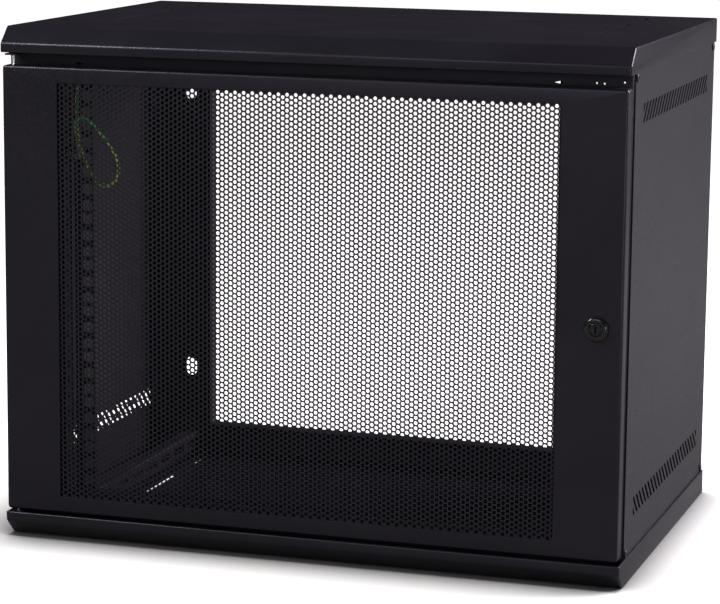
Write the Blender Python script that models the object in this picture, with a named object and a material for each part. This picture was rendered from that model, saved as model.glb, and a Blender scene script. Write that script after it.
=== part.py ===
"""A nine-unit wall-mount cabinet for 19-inch equipment, with a perforated, locking front door.

All sizes are in millimetres and become metres when a mesh is made. The origin is the middle of the
cabinet's footprint, +X is to the right of somebody facing the door, the door faces -Y, and +Z is up.
"""

import math

import bmesh
import bpy
from mathutils import Vector

MM = 0.001
GAP = 0.3

# The cabinet
WIDTH = 600.0
DEPTH = 400.0
HEIGHT = 488.0
SHEET = 1.5
THIN_SHEET = 1.2
RIGHT = WIDTH / 2
LEFT = -RIGHT
BACK = DEPTH / 2
FRONT = -BACK

# The covers: a flat pan with skirts all round and a chamfer along the front
SKIRT = 24.0
CHAMFER_DEPTH = 16.0
CHAMFER_HEIGHT = 15.2
SLIT = 2.5
SIDE_SLIT = 4.5
BRIDGE = 4.0
KNOCKOUT_HALF_WIDTH = 237.0
FAN_KNOCKOUT = (-70.0, 79.0)
CABLE_KNOCKOUT = (132.0, 163.0)

# The side panels and their two rows of slanted vents
PANEL_FRONT = -173.0
PANEL_TUCK = 12.0
VENT_SPAN = (-138.0, 163.0)
VENT_HEIGHT = 17.5
VENT_UPPER = 417.0
VENT_LOWER = 56.5
VENT_PITCH = 12.8
VENT_SLOT = 6.2

# The front frame
FRAME_FACE = -176.0
FRAME_DEPTH = 26.0
FRAME_RETURN = 16.0
FRAME_HALF_WIDTH = RIGHT - SHEET - THIN_SHEET - 2 * GAP
OPENING_HALF_WIDTH = 246.0
OPENING_LOW = 44.0
OPENING_HIGH = 444.0
LOCK_SLOT = (262.0, 209.0, 284.0, 252.0)
TOP_SLOT = ((225.7, 453.7), (233.0, 452.4), (233.0, 455.4), (230.5, 455.2), (225.7, 454.1))
TOP_HOLES = ((263.5, 454.6), (270.5, 454.3), (288.6, 456.0))
TOP_HOLE = 0.9

# The rear frame
REAR_WINDOW = (-234.5, 35.0, 234.5, 453.0)
REAR_OUTER_RETURN = 15.0
REAR_INNER_RETURN = 20.0
KEYHOLE_X = 263.0
KEYHOLE_Z = (94.0, 394.0)
KEYHOLE_WIDTH = 12.0
KEYHOLE_HEIGHT = 20.0

# The 19-inch rails and the brackets that they slide on
UNIT = 44.45
UNITS = 9
UNIT_HOLES = (6.35, 22.225, 38.1)
RAIL_HOLE = 9.5
RAIL_HOLE_X = 232.55
RAIL_FACE = -154.0
RAIL_OUTER = 246.5
RAIL_INNER = 225.5
RAIL_WEB = 50.0
RAIL_END = 9.0
RAIL_BOLT_Y = -118.0
RAIL_BOLT_Z = 18.0
BRACKET_INNER = RAIL_OUTER + GAP
BRACKET_DEEP = 15.0
BRACKET_LOW = 8.0
BRACKET_HIGH = 28.0
BRACKET_SLOTS = 8
BRACKET_FIRST = RAIL_BOLT_Y + 3.0
BRACKET_PITCH = 39.0
BRACKET_SLOT = (28.0, 6.4)

# The door
DOOR = (LEFT, 26.0, 297.0, 452.0)
DOOR_WINDOW = (-245.0, 41.5, 237.0, 437.0)
DOOR_FACE = -196.0
DOOR_DEPTH = 16.0
SCREEN_MARGIN = 8.0
SCREEN_SHEET = 1.0

# The hinge
HINGE_X = -291.0
HINGE_Y = -190.0
PIN_RADIUS = 2.2
PIN_HOLE = 2.6
PIN_TOP = 463.6
PIN_COLLAR = 3.4
PIN_COLLAR_DEEP = 2.0
PIN_BEND = 4.0
PIN_TIP = 0.4
PIN_HANDLE_Z = 404.0
PIN_HANDLE_END = -266.0
LOWER_PIN_LENGTHS = (4.2, 3.0, 7.0)
LOWER_PIN_FLANGE = 4.0
UPPER_PLATE = (461.4, 478.0)
LOWER_PLATE = (22.5, 8.0)
PLATE_FRONT = FRONT + SHEET + 1.0
HINGE_REACH = 7.0
GUIDE_Z = 412.0
GUIDE_LEG = 16.0
GUIDE_BACK = HINGE_Y + 5.5
COIL_RADIUS = 3.2
COIL_WIRE = 0.4
COIL_TURNS = 9
COIL_STEPS = 8
COIL_SIDES = 5

# The lock
LOCK_X = 273.0
LOCK_Z = 238.5
LOCK_RIM = 11.6
LOCK_BODY = 9.0
LOCK_BARREL = 6.0
LOCK_BODY_END = -172.0
LOCK_BEVEL = 2.4
LOCK_STUB = (3.0, 6.0)
KEYWAY = (0.9, 3.8, 5.0)
CAM_REACH = 23.0
CAM_SHEET = 2.0
CAM_WIDE = 7.0
CAM_NARROW = 5.0

# Screws and bolts, and nuts as (radius across the corners, bore, height)
SCREW_HEAD = 4.0
SCREW_LENGTH = 6.5
SCREW_RECESS = (1.3, 0.8)
SCREW_INSET = 0.1
SCREW_SHANK = 1.9
SCREW_HOLE = 2.3
SCREW_Z = (28.0, 460.0)
SCREW_FRONT_Y = -168.0
SCREW_REAR_Y = 190.0
BOLT_SHANK = 2.5
BOLT_HOLE = 2.9
BOLT_HEAD = 5.0
BOLT_HEAD_HIGH = 3.4
BOLT_LENGTH = 8.0
BOLT_SOCKET = (1.8, 1.8)
BEVEL = 0.8
RAIL_NUT = (4.6, 3.3, 4.0)
LOCK_NUT = (14.0, 10.8, 4.5)
CAM_NUT = (5.6, 3.9, 2.4)
EARTH_NUT = (3.8, 2.5, 2.6)

# The earth lead
STUD_Y = -170.5
UPPER_STUD_Z = 437.0
LOWER_STUD_Z = 368.0
STUD_FACE = -OPENING_HALF_WIDTH + GAP
BOSS_LENGTH = 8.0
BOSS_RADIUS = 5.0
STUD_RADIUS = 1.8
STUD_LENGTH = 6.0
LUG_X = STUD_FACE + BOSS_LENGTH + GAP
LUG_SHEET = 1.0
LUG_RING = 4.5
LUG_BORE = 2.4
LUG_BARREL = 1.9
LUG_BARREL_START = 4.0
LUG_BARREL_END = 10.0
LUG_STEP = 0.1
WASHER_SPACE = 1.2
LEAD_X = LUG_X + LUG_BARREL + LUG_STEP
LEAD_RADIUS = 1.7
LEAD_SPACING = 6.5
LEAD_ROUTE = (
    (-235.4, -170.3, 422.5),
    (-236.8, -167.6, 412.0),
    (-238.0, -164.6, 399.0),
    (-235.5, -163.9, 378.0),
    (-231.0, -163.8, 363.0),
    (-225.0, -164.0, 350.0),
    (-216.0, -164.4, 340.5),
    (-205.0, -165.0, 339.5),
    (-196.5, -166.0, 348.0),
    (-195.2, -167.2, 361.0),
    (-200.5, -168.4, 374.5),
    (-208.5, -169.4, 385.5),
    (-216.5, -170.0, 394.5),
    (-224.7, -170.2, 401.6),
    (-228.3, -170.3, 403.3),
    (-232.2, -170.3, 402.9),
    (-235.4, -170.3, 400.7),
    (-237.1, -170.3, 397.1),
    (-237.1, -170.4, 393.5),
    (-236.1, -170.5, 387.5),
    (-235.4, -170.5, 382.0),
)

PLACES = {"x": (1, 2, 0), "y": (0, 2, 1), "z": (0, 1, 2)}


# Loops of points, and the closed shapes lofted through them


def point(axis, u, v, level):
    """A point from its two coordinates across an axis and its level along it."""
    place = [0.0, 0.0, 0.0]
    for index, value in zip(PLACES[axis], (u, v, level)):
        place[index] = value
    return tuple(place)


def rectangle(axis, level, box, grow=0.0):
    u0, v0, u1, v1 = box
    u0, v0, u1, v1 = u0 - grow, v0 - grow, u1 + grow, v1 + grow
    return [point(axis, u, v, level) for u, v in ((u0, v0), (u1, v0), (u1, v1), (u0, v1))]


def circle(axis, level, centre, radius, sides=16):
    turn = 2 * math.pi / sides
    u, v = centre
    return [
        point(axis, u + radius * math.cos(turn * i), v + radius * math.sin(turn * i), level)
        for i in range(sides)
    ]


def loft(loops, closed=False):
    """A skin through loops of equally many points, joined end to end if closed and capped if open."""
    count = len(loops[0])
    rings = len(loops) if closed else len(loops) - 1
    pairs = [(k, (k + 1) % len(loops)) for k in range(rings)]
    faces = [
        (a * count + i, a * count + (i + 1) % count, b * count + (i + 1) % count, b * count + i)
        for a, b in pairs
        for i in range(count)
    ]
    if not closed:
        last = (len(loops) - 1) * count
        faces += [tuple(range(count)), tuple(range(last, last + count))]
    return [p for loop in loops for p in loop], faces


def prism(outline, axis, low, high):
    return loft([[point(axis, u, v, level) for u, v in outline] for level in (low, high)])


def block(low, high):
    return loft([rectangle("z", z, (low[0], low[1], high[0], high[1])) for z in (low[2], high[2])])


def turned(axis, centre, steps, sides=16, closed=False):
    """A round piece through (radius, level) steps; closed leaves the hole inside the innermost steps."""
    return loft([circle(axis, level, centre, radius, sides) for radius, level in steps], closed)


def hole(axis, centre, radius, low, high, sides=12):
    return turned(axis, centre, ((radius, low), (radius, high)), sides)


def mirrored(shape, side):
    """The shape on the right (+1), or its mirror image on the left (-1)."""
    points, faces = shape
    return [(side * x, y, z) for x, y, z in points], faces


def upside_down(shape):
    points, faces = shape
    return [(x, y, HEIGHT - z) for x, y, z in points], faces


# Objects


def paint(name, colour, roughness, metallic=0.0):
    material = bpy.data.materials.new(name)
    material.use_nodes = True
    shader = material.node_tree.nodes["Principled BSDF"]
    shader.inputs["Base Color"].default_value = (*colour, 1.0)
    shader.inputs["Roughness"].default_value = roughness
    shader.inputs["Metallic"].default_value = metallic
    return material


def carrier(name, place, parent=None):
    """An empty on a joint's axis, which carries the pieces that move with it."""
    empty = bpy.data.objects.new(name, None)
    bpy.context.scene.collection.objects.link(empty)
    empty["place"] = place
    empty.location = Vector(place) * MM
    if parent:
        empty.parent = parent
        empty.location = (Vector(place) - Vector(parent["place"])) * MM
    return empty


def new_object(name, shape, origin, parent):
    points, faces = shape
    mesh = bpy.data.meshes.new(name)
    mesh.from_pydata([(Vector(p) - Vector(origin)) * MM for p in points], [], faces)
    shell = bmesh.new()
    shell.from_mesh(mesh)
    bmesh.ops.recalc_face_normals(shell, faces=shell.faces)
    shell.to_mesh(mesh)
    shell.free()
    made = bpy.data.objects.new(name, mesh)
    bpy.context.scene.collection.objects.link(made)
    made.parent = parent
    return made


def piece(name, shape, colours, body, smooth=False):
    """One separate part of the cabinet, with a material of its own, carried by a body's empty."""
    made = new_object(name, shape, body["place"], body)
    made["place"] = body["place"]
    made.data.materials.append(paint(name, *colours))
    if smooth:
        made.data.shade_smooth()
        made.data.set_sharp_from_angle(angle=math.radians(40))
    return made


def combine(target, name, shapes, operation):
    """Cuts shapes out of a piece or joins them to it; the shapes of one call stay clear of each other."""
    points, faces = [], []
    for shape_points, shape_faces in shapes:
        faces += [tuple(len(points) + i for i in face) for face in shape_faces]
        points += shape_points
    tool = new_object(f"{target.name}_{name}", (points, faces), target["place"], target)
    tool.hide_render = True
    tool.display_type = "WIRE"
    change = target.modifiers.new(name, "BOOLEAN")
    change.operation = operation
    change.solver = "EXACT"
    change.object = tool


def cut(target, name, shapes):
    combine(target, name, shapes, "DIFFERENCE")


def join(target, name, shapes):
    combine(target, name, shapes, "UNION")


BLACK = ((0.018, 0.017, 0.020), 0.5)
STEEL = ((0.55, 0.55, 0.56), 0.35, 0.9)
CHROME = ((0.75, 0.75, 0.76), 0.12, 1.0)
DARK_GLOSS = ((0.02, 0.02, 0.022), 0.2, 0.4)
TINNED = ((0.62, 0.60, 0.56), 0.35, 0.9)
GREEN = ((0.10, 0.36, 0.05), 0.45)


# The covers


def cover_shape():
    """The top cover's outside and inside, each a side view stretched across the cabinet."""
    lean = math.atan2(CHAMFER_DEPTH, CHAMFER_HEIGHT)
    low = HEIGHT - SKIRT
    shoulder = HEIGHT - CHAMFER_HEIGHT
    outside = (
        (FRONT, low),
        (FRONT, shoulder),
        (FRONT + CHAMFER_DEPTH, HEIGHT),
        (BACK, HEIGHT),
        (BACK, low),
    )
    inside = (
        (FRONT + SHEET, low - SHEET),
        (FRONT + SHEET, shoulder - SHEET * math.tan(lean / 2)),
        (FRONT + CHAMFER_DEPTH + SHEET * math.tan((math.pi / 2 - lean) / 2), HEIGHT - SHEET),
        (BACK - SHEET, HEIGHT - SHEET),
        (BACK - SHEET, low - SHEET),
    )
    return prism(outside, "x", LEFT, RIGHT), prism(inside, "x", LEFT + SHEET, RIGHT - SHEET)


def knockout_slits(span):
    """The slits that outline a knock-out, with a bridge at each corner and one in the middle."""
    front, rear = span
    low, high = HEIGHT - 2 * SHEET, HEIGHT + SHEET
    edge = KNOCKOUT_HALF_WIDTH
    slits = []
    for side in (-1, 1):
        x = side * edge - SIDE_SLIT / 2
        slits.append(block((x, front, low), (x + SIDE_SLIT, rear, high)))
        near, far = sorted((side * BRIDGE / 2, side * (edge - SIDE_SLIT / 2 - BRIDGE)))
        for y in (front, rear - SLIT):
            slits.append(block((near, y, low), (far, y + SLIT, high)))
    return slits


def cover(name, turn, body):
    outside, inside = cover_shape()
    made = piece(name, turn(outside), BLACK, body)
    cut(made, "hollow", [turn(inside)])
    slits = knockout_slits(FAN_KNOCKOUT) + knockout_slits(CABLE_KNOCKOUT)
    cut(made, "slits", [turn(slit) for slit in slits])


# The side panels


def clipped(outline, limit, keep_above):
    """The part of a flat outline whose first coordinate lies above, or below, a limit."""
    kept = []
    for (u0, v0), (u1, v1) in zip(outline, outline[1:] + outline[:1]):
        inside = (u0 >= limit) == keep_above
        if inside:
            kept.append((u0, v0))
        if inside != ((u1 >= limit) == keep_above):
            share = (limit - u0) / (u1 - u0)
            kept.append((limit, v0 + share * (v1 - v0)))
    return kept


def vent_outline(y, low, lean):
    """One slanted slot, trimmed to the ends of its row."""
    shift = lean * VENT_HEIGHT / 2
    outline = [
        (y - VENT_SLOT / 2 - shift, low),
        (y + VENT_SLOT / 2 - shift, low),
        (y + VENT_SLOT / 2 + shift, low + VENT_HEIGHT),
        (y - VENT_SLOT / 2 + shift, low + VENT_HEIGHT),
    ]
    front, rear = VENT_SPAN
    outline = clipped(outline, front, True)
    return clipped(outline, rear, False) if outline else []


def vent_row(low, lean):
    """A row of slots at 45 degrees in a rectangle; lean is +1 where their tops lie further back."""
    front, rear = VENT_SPAN
    middle = (front + rear) / 2
    reach = math.ceil((rear - front) / VENT_PITCH / 2) + 1
    slots = []
    for step in range(-reach, reach + 1):
        outline = vent_outline(middle + step * VENT_PITCH, low, lean)
        spread = [y for y, z in outline] or [0.0]
        if max(spread) - min(spread) > SLIT:
            slots.append(prism(outline, "x", RIGHT - SHEET - 2 * THIN_SHEET, RIGHT + SHEET))
    return slots


def screw_places():
    return [(y, z) for y in (SCREW_FRONT_Y, SCREW_REAR_Y) for z in SCREW_Z]


def screw_holes(inner, outer):
    return [hole("x", place, SCREW_HOLE, inner, outer) for place in screw_places()]


def side_panel(name, side, body):
    outer = RIGHT - SHEET - GAP
    inner = outer - THIN_SHEET
    sheet = block((inner, PANEL_FRONT, PANEL_TUCK), (outer, BACK - SHEET - GAP, HEIGHT - PANEL_TUCK))
    made = piece(name, mirrored(sheet, side), BLACK, body)
    openings = vent_row(VENT_UPPER, 1) + vent_row(VENT_LOWER, -1)
    openings += screw_holes(inner - SHEET, outer + SHEET)
    cut(made, "openings", [mirrored(opening, side) for opening in openings])


def side_screw(name, side, place, body):
    seat = RIGHT - SHEET
    top = RIGHT - SCREW_INSET
    steps = (
        (SCREW_HEAD - BEVEL, top),
        (SCREW_HEAD, seat + SCREW_INSET),
        (SCREW_HEAD, seat),
        (SCREW_SHANK, seat),
        (SCREW_SHANK, seat - SCREW_LENGTH),
    )
    made = piece(name, mirrored(turned("x", place, steps, 12), side), STEEL, body, smooth=True)
    radius, deep = SCREW_RECESS
    recess = hole("x", place, radius, top - deep, top + deep, 6)
    cut(made, "recess", [mirrored(recess, side)])


# The frames


def channel_ring(outer, inner, face, way, depths, sheet):
    """A pressed rectangular ring: a flat face with a flange round its outside and one round its window.

    way is +1 where the flanges run towards +Y, and depths are the flanges' depths from the face."""
    outer_depth, inner_depth = depths
    loops = [
        rectangle("y", face, outer),
        rectangle("y", face + way * outer_depth, outer),
        rectangle("y", face + way * outer_depth, outer, -sheet),
        rectangle("y", face + way * sheet, outer, -sheet),
    ]
    if inner_depth > sheet:
        loops += [
            rectangle("y", face + way * sheet, inner, sheet),
            rectangle("y", face + way * inner_depth, inner, sheet),
        ]
    loops += [
        rectangle("y", face + way * inner_depth, inner),
        rectangle("y", face, inner),
    ]
    return loft(loops, closed=True)


def frame_outline():
    edge = SHEET + GAP
    return (-FRAME_HALF_WIDTH, edge, FRAME_HALF_WIDTH, HEIGHT - edge)


def front_frame(body):
    opening = (-OPENING_HALF_WIDTH, OPENING_LOW, OPENING_HALF_WIDTH, OPENING_HIGH)
    ring = channel_ring(frame_outline(), opening, FRAME_FACE, 1, (FRAME_DEPTH, FRAME_RETURN), SHEET)
    made = piece("front_frame", ring, BLACK, body)
    near, far = FRAME_FACE - SHEET, FRAME_FACE + 2 * SHEET
    either_side = [prism(TOP_SLOT, "y", near, far)]
    either_side += [hole("y", place, TOP_HOLE, near, far, 8) for place in TOP_HOLES]
    for z in SCREW_Z:
        inner = FRAME_HALF_WIDTH - 2 * SHEET
        either_side.append(hole("x", (SCREW_FRONT_Y, z), SCREW_HOLE, inner, RIGHT))
    x0, z0, x1, z1 = LOCK_SLOT
    openings = [block((x0, near, z0), (x1, far, z1))]
    for side in (-1, 1):
        openings += [mirrored(shape, side) for shape in either_side]
    cut(made, "openings", openings)


def keyhole(x, z):
    """A tall opening with cut corners, for the head of a wall screw."""
    half, tall, corner = KEYHOLE_WIDTH / 2, KEYHOLE_HEIGHT / 2, KEYHOLE_WIDTH / 3.5
    outline = (
        (x - half + corner, z - tall),
        (x + half - corner, z - tall),
        (x + half, z - tall + corner),
        (x + half, z + tall - corner),
        (x + half - corner, z + tall),
        (x - half + corner, z + tall),
        (x - half, z + tall - corner),
        (x - half, z - tall + corner),
    )
    return prism(outline, "y", BACK - 4 * SHEET, BACK + SHEET)


def rear_frame(body):
    face = BACK - SHEET - GAP
    depths = (REAR_OUTER_RETURN, REAR_INNER_RETURN)
    ring = channel_ring(frame_outline(), REAR_WINDOW, face, -1, depths, THIN_SHEET)
    made = piece("rear_frame", ring, BLACK, body)
    openings = [keyhole(side * KEYHOLE_X, z) for side in (-1, 1) for z in KEYHOLE_Z]
    for side in (-1, 1):
        for z in SCREW_Z:
            opening = hole("x", (SCREW_REAR_Y, z), SCREW_HOLE, FRAME_HALF_WIDTH - 2 * SHEET, RIGHT)
            openings.append(mirrored(opening, side))
    cut(made, "openings", openings)


# The rails and their brackets


def depth_bracket(name, side, turn, body):
    """A slotted channel from the front frame to the rear frame, open towards the side panel."""
    outer = BRACKET_INNER + BRACKET_DEEP
    web = BRACKET_INNER + SHEET
    near = FRAME_FACE + SHEET + GAP
    far = BACK - SHEET - 2 * GAP - THIN_SHEET
    box = (near, BRACKET_LOW, far, BRACKET_HIGH)
    tray = loft(
        [
            rectangle("x", web, box, -SHEET),
            rectangle("x", outer, box, -SHEET),
            rectangle("x", outer, box),
            rectangle("x", BRACKET_INNER, box),
        ]
    )
    made = piece(name, turn(mirrored(tray, side)), BLACK, body)
    length, height = BRACKET_SLOT
    slots = []
    for step in range(BRACKET_SLOTS):
        y = BRACKET_FIRST + step * BRACKET_PITCH
        low = (BRACKET_INNER - SHEET, y - length / 2, RAIL_BOLT_Z - height / 2)
        high = (web + SHEET, y + length / 2, RAIL_BOLT_Z + height / 2)
        slots.append(block(low, high))
    cut(made, "slots", [turn(mirrored(slot, side)) for slot in slots])


def rail(name, side, body):
    """An angle with a square hole at every equipment hole position of its nine units."""
    outline = (
        (RAIL_OUTER, RAIL_FACE),
        (RAIL_INNER, RAIL_FACE),
        (RAIL_INNER, RAIL_FACE + SHEET),
        (RAIL_OUTER - SHEET, RAIL_FACE + SHEET),
        (RAIL_OUTER - SHEET, RAIL_FACE + RAIL_WEB),
        (RAIL_OUTER, RAIL_FACE + RAIL_WEB),
    )
    angle = prism(outline, "z", RAIL_END, HEIGHT - RAIL_END)
    made = piece(name, mirrored(angle, side), BLACK, body)
    middle = (OPENING_LOW + OPENING_HIGH) / 2
    bottom = middle - UNITS * UNIT / 2
    half = RAIL_HOLE / 2
    openings = []
    for unit in range(UNITS):
        for offset in UNIT_HOLES:
            z = bottom + unit * UNIT + offset
            low = (RAIL_HOLE_X - half, RAIL_FACE - SHEET, z - half)
            high = (RAIL_HOLE_X + half, RAIL_FACE + 2 * SHEET, z + half)
            openings.append(block(low, high))
    inner, outer = RAIL_OUTER - 2 * SHEET, RAIL_OUTER + SHEET
    for z in (RAIL_BOLT_Z, HEIGHT - RAIL_BOLT_Z):
        openings.append(hole("x", (RAIL_BOLT_Y, z), BOLT_HOLE, inner, outer))
    cut(made, "openings", [mirrored(opening, side) for opening in openings])


def rail_bolt(name, side, z, body):
    head = RAIL_OUTER - SHEET - GAP
    top = head - BOLT_HEAD_HIGH
    steps = (
        (BOLT_HEAD - BEVEL, top),
        (BOLT_HEAD, top + BEVEL),
        (BOLT_HEAD, head),
        (BOLT_SHANK, head),
        (BOLT_SHANK, BRACKET_INNER + SHEET + BOLT_LENGTH),
    )
    bolt = turned("x", (RAIL_BOLT_Y, z), steps, 12)
    made = piece(name, mirrored(bolt, side), STEEL, body, smooth=True)
    radius, deep = BOLT_SOCKET
    socket = hole("x", (RAIL_BOLT_Y, z), radius, top - deep, top + deep, 6)
    cut(made, "socket", [mirrored(socket, side)])


def hexagon_nut(axis, centre, low, sizes):
    radius, bore, height = sizes
    steps = ((bore, low), (radius, low), (radius, low + height), (bore, low + height))
    return turned(axis, centre, steps, 6, closed=True)


def rail_nut(name, side, z, body):
    low = BRACKET_INNER + SHEET + GAP
    nut = hexagon_nut("x", (RAIL_BOLT_Y, z), low, RAIL_NUT)
    piece(name, mirrored(nut, side), STEEL, body)


# The door


def door_frame(body):
    depths = (DOOR_DEPTH, SHEET)
    ring = channel_ring(DOOR, DOOR_WINDOW, DOOR_FACE, 1, depths, SHEET)
    made = piece("door_frame", ring, BLACK, body)
    pin = (HINGE_X, HINGE_Y)
    low, high = DOOR[1], DOOR[3]
    openings = [
        hole("z", pin, PIN_HOLE, low - SHEET, low + 2 * SHEET),
        hole("z", pin, PIN_HOLE, high - 2 * SHEET, high + SHEET),
        hole("y", (LOCK_X, LOCK_Z), LOCK_BODY + GAP, DOOR_FACE - SHEET, DOOR_FACE + 2 * SHEET, 20),
    ]
    cut(made, "openings", openings)


def door_screen(body):
    front = DOOR_FACE + SHEET + GAP
    x0, z0, x1, z1 = DOOR_WINDOW
    low = (x0 - SCREEN_MARGIN, front, z0 - SCREEN_MARGIN)
    high = (x1 + SCREEN_MARGIN, front + SCREEN_SHEET, z1 + SCREEN_MARGIN)
    piece("door_screen", block(low, high), BLACK, body)


# The hinge


def hinge_plate(name, levels, body):
    """An angle on the front frame's face, whose flat leg holds one end of a hinge pin."""
    low, leg_end = levels
    near, far = PLATE_FRONT, FRAME_FACE - GAP
    high = low + SHEET
    heel, crook = (low, high) if leg_end > high else (high, low)
    outline = (
        (near, heel),
        (far, heel),
        (far, leg_end),
        (far - SHEET, leg_end),
        (far - SHEET, crook),
        (near, crook),
    )
    shape = prism(outline, "x", -FRAME_HALF_WIDTH + GAP, HINGE_X + HINGE_REACH)
    made = piece(name, shape, BLACK, body)
    opening = hole("z", (HINGE_X, HINGE_Y), PIN_HOLE, low - SHEET, high + SHEET)
    cut(made, "pin_hole", [opening])


def lower_hinge_pin(body):
    seat = DOOR[1] + SHEET + GAP
    below, flange, above = LOWER_PIN_LENGTHS
    tip = DOOR[1] - below
    steps = (
        (PIN_RADIUS - PIN_TIP, tip),
        (PIN_RADIUS, tip + PIN_TIP),
        (PIN_RADIUS, seat),
        (LOWER_PIN_FLANGE, seat),
        (LOWER_PIN_FLANGE, seat + flange),
        (PIN_RADIUS, seat + flange),
        (PIN_RADIUS, seat + above),
    )
    pin = turned("z", (HINGE_X, HINGE_Y), steps, 12)
    piece("lower_hinge_pin", pin, CHROME, body, smooth=True)


def across(centre, direction, radius, sides):
    """A circle square to a direction in the XZ plane."""
    lean = Vector((-direction[1], 0.0, direction[0]))
    back = Vector((0.0, 1.0, 0.0))
    turn = 2 * math.pi / sides
    return [
        tuple(Vector(centre) + radius * (math.cos(turn * i) * lean + math.sin(turn * i) * back))
        for i in range(sides)
    ]


def upper_hinge_pin(body):
    """A spring-loaded pin with a collar under the door's top flange and a bent handle at its foot."""
    sides = 12
    collar_top = DOOR[3] - SHEET - GAP
    down = (0.0, -1.0)
    steps = (
        (PIN_RADIUS - PIN_TIP, PIN_TOP),
        (PIN_RADIUS, PIN_TOP - PIN_TIP),
        (PIN_RADIUS, collar_top),
        (PIN_COLLAR, collar_top),
        (PIN_COLLAR, collar_top - PIN_COLLAR_DEEP),
        (PIN_RADIUS, collar_top - PIN_COLLAR_DEEP),
    )
    loops = [across((HINGE_X, HINGE_Y, z), down, radius, sides) for radius, z in steps]
    for angle in (0.0, 22.5, 45.0, 67.5, 90.0):
        turn = math.radians(angle)
        centre = (
            HINGE_X + PIN_BEND * (1 - math.cos(turn)),
            HINGE_Y,
            PIN_HANDLE_Z + PIN_BEND * (1 - math.sin(turn)),
        )
        loops.append(across(centre, (math.sin(turn), -math.cos(turn)), PIN_RADIUS, sides))
    loops.append(across((PIN_HANDLE_END, HINGE_Y, PIN_HANDLE_Z), (1.0, 0.0), PIN_RADIUS, sides))
    piece("upper_hinge_pin", loft(loops), CHROME, body, smooth=True)


def pin_guide(body):
    """The angle inside the door that guides the pin and holds the spring's lower end."""
    edge = DOOR[0] + SHEET + GAP
    outline = (
        (edge, GUIDE_Z),
        (HINGE_X + HINGE_REACH, GUIDE_Z),
        (HINGE_X + HINGE_REACH, GUIDE_Z + SHEET),
        (edge + SHEET, GUIDE_Z + SHEET),
        (edge + SHEET, GUIDE_Z + GUIDE_LEG),
        (edge, GUIDE_Z + GUIDE_LEG),
    )
    near = DOOR_FACE + SHEET + GAP
    made = piece("pin_guide", prism(outline, "y", near, GUIDE_BACK), BLACK, body)
    opening = hole("z", (HINGE_X, HINGE_Y), PIN_HOLE, GUIDE_Z - SHEET, GUIDE_Z + 2 * SHEET)
    cut(made, "pin_hole", [opening])


def wire_ring(centre, outward):
    """The wire's section at one place on the coil."""
    up = Vector((0.0, 0.0, 1.0))
    turn = 2 * math.pi / COIL_SIDES
    return [
        tuple(centre + COIL_WIRE * (math.cos(turn * i) * outward + math.sin(turn * i) * up))
        for i in range(COIL_SIDES)
    ]


def pin_spring(body):
    """The coil between the pin's guide and its collar."""
    low = GUIDE_Z + SHEET + GAP + COIL_WIRE
    high = DOOR[3] - SHEET - 2 * GAP - PIN_COLLAR_DEEP - COIL_WIRE
    count = COIL_TURNS * COIL_STEPS
    loops = []
    for step in range(count + 1):
        angle = 2 * math.pi * step / COIL_STEPS
        outward = Vector((math.cos(angle), math.sin(angle), 0.0))
        centre = Vector((HINGE_X, HINGE_Y, low + (high - low) * step / count))
        loops.append(wire_ring(centre + COIL_RADIUS * outward, outward))
    piece("pin_spring", loft(loops), STEEL, body, smooth=True)


# The lock


def lock_body(body):
    rim_back = DOOR_FACE - GAP
    bore = LOCK_BARREL + GAP
    steps = (
        (bore, FRONT),
        (LOCK_RIM - LOCK_BEVEL, FRONT),
        (LOCK_RIM, FRONT + LOCK_BEVEL),
        (LOCK_RIM, rim_back),
        (LOCK_BODY, rim_back),
        (LOCK_BODY, LOCK_BODY_END),
        (bore, LOCK_BODY_END),
    )
    shape = turned("y", (LOCK_X, LOCK_Z), steps, 20, closed=True)
    piece("lock_body", shape, DARK_GLOSS, body, smooth=True)


def lock_nut(body):
    low = DOOR_FACE + SHEET + GAP
    nut = hexagon_nut("y", (LOCK_X, LOCK_Z), low, LOCK_NUT)
    piece("lock_nut", nut, STEEL, body)


def lock_barrel(body):
    """The part that the key turns, with a keyway in front and a stub behind that drives the cam."""
    shoulder = LOCK_BODY_END + 2 * GAP
    front = FRONT + GAP
    stub, stub_length = LOCK_STUB
    steps = (
        (LOCK_BARREL - PIN_TIP, front),
        (LOCK_BARREL, front + PIN_TIP),
        (LOCK_BARREL, shoulder),
        (stub, shoulder),
        (stub, shoulder + stub_length),
    )
    barrel = turned("y", (LOCK_X, LOCK_Z), steps, 20)
    made = piece("lock_barrel", barrel, STEEL, body, smooth=True)
    half, tall, deep = KEYWAY
    low = (LOCK_X - half, FRONT - SHEET, LOCK_Z - tall)
    high = (LOCK_X + half, FRONT + deep, LOCK_Z + tall)
    cut(made, "keyway", [block(low, high)])


def lock_cam(body):
    near = LOCK_BODY_END + 3 * GAP
    outline = [(LOCK_X - CAM_NARROW, LOCK_Z - CAM_REACH), (LOCK_X + CAM_NARROW, LOCK_Z - CAM_REACH)]
    for angle in (-22.5, 37.5, 90.0, 142.5, 202.5):
        turn = math.radians(angle)
        outline.append((LOCK_X + CAM_WIDE * math.cos(turn), LOCK_Z + CAM_WIDE * math.sin(turn)))
    made = piece("lock_cam", prism(outline, "y", near, near + CAM_SHEET), STEEL, body)
    opening = hole("y", (LOCK_X, LOCK_Z), LOCK_STUB[0] + GAP, near - SHEET, near + CAM_SHEET + SHEET)
    cut(made, "hole", [opening])


def cam_nut(body):
    low = LOCK_BODY_END + 4 * GAP + CAM_SHEET
    nut = hexagon_nut("y", (LOCK_X, LOCK_Z), low, CAM_NUT)
    piece("cam_nut", nut, STEEL, body)


# The earth lead


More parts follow.
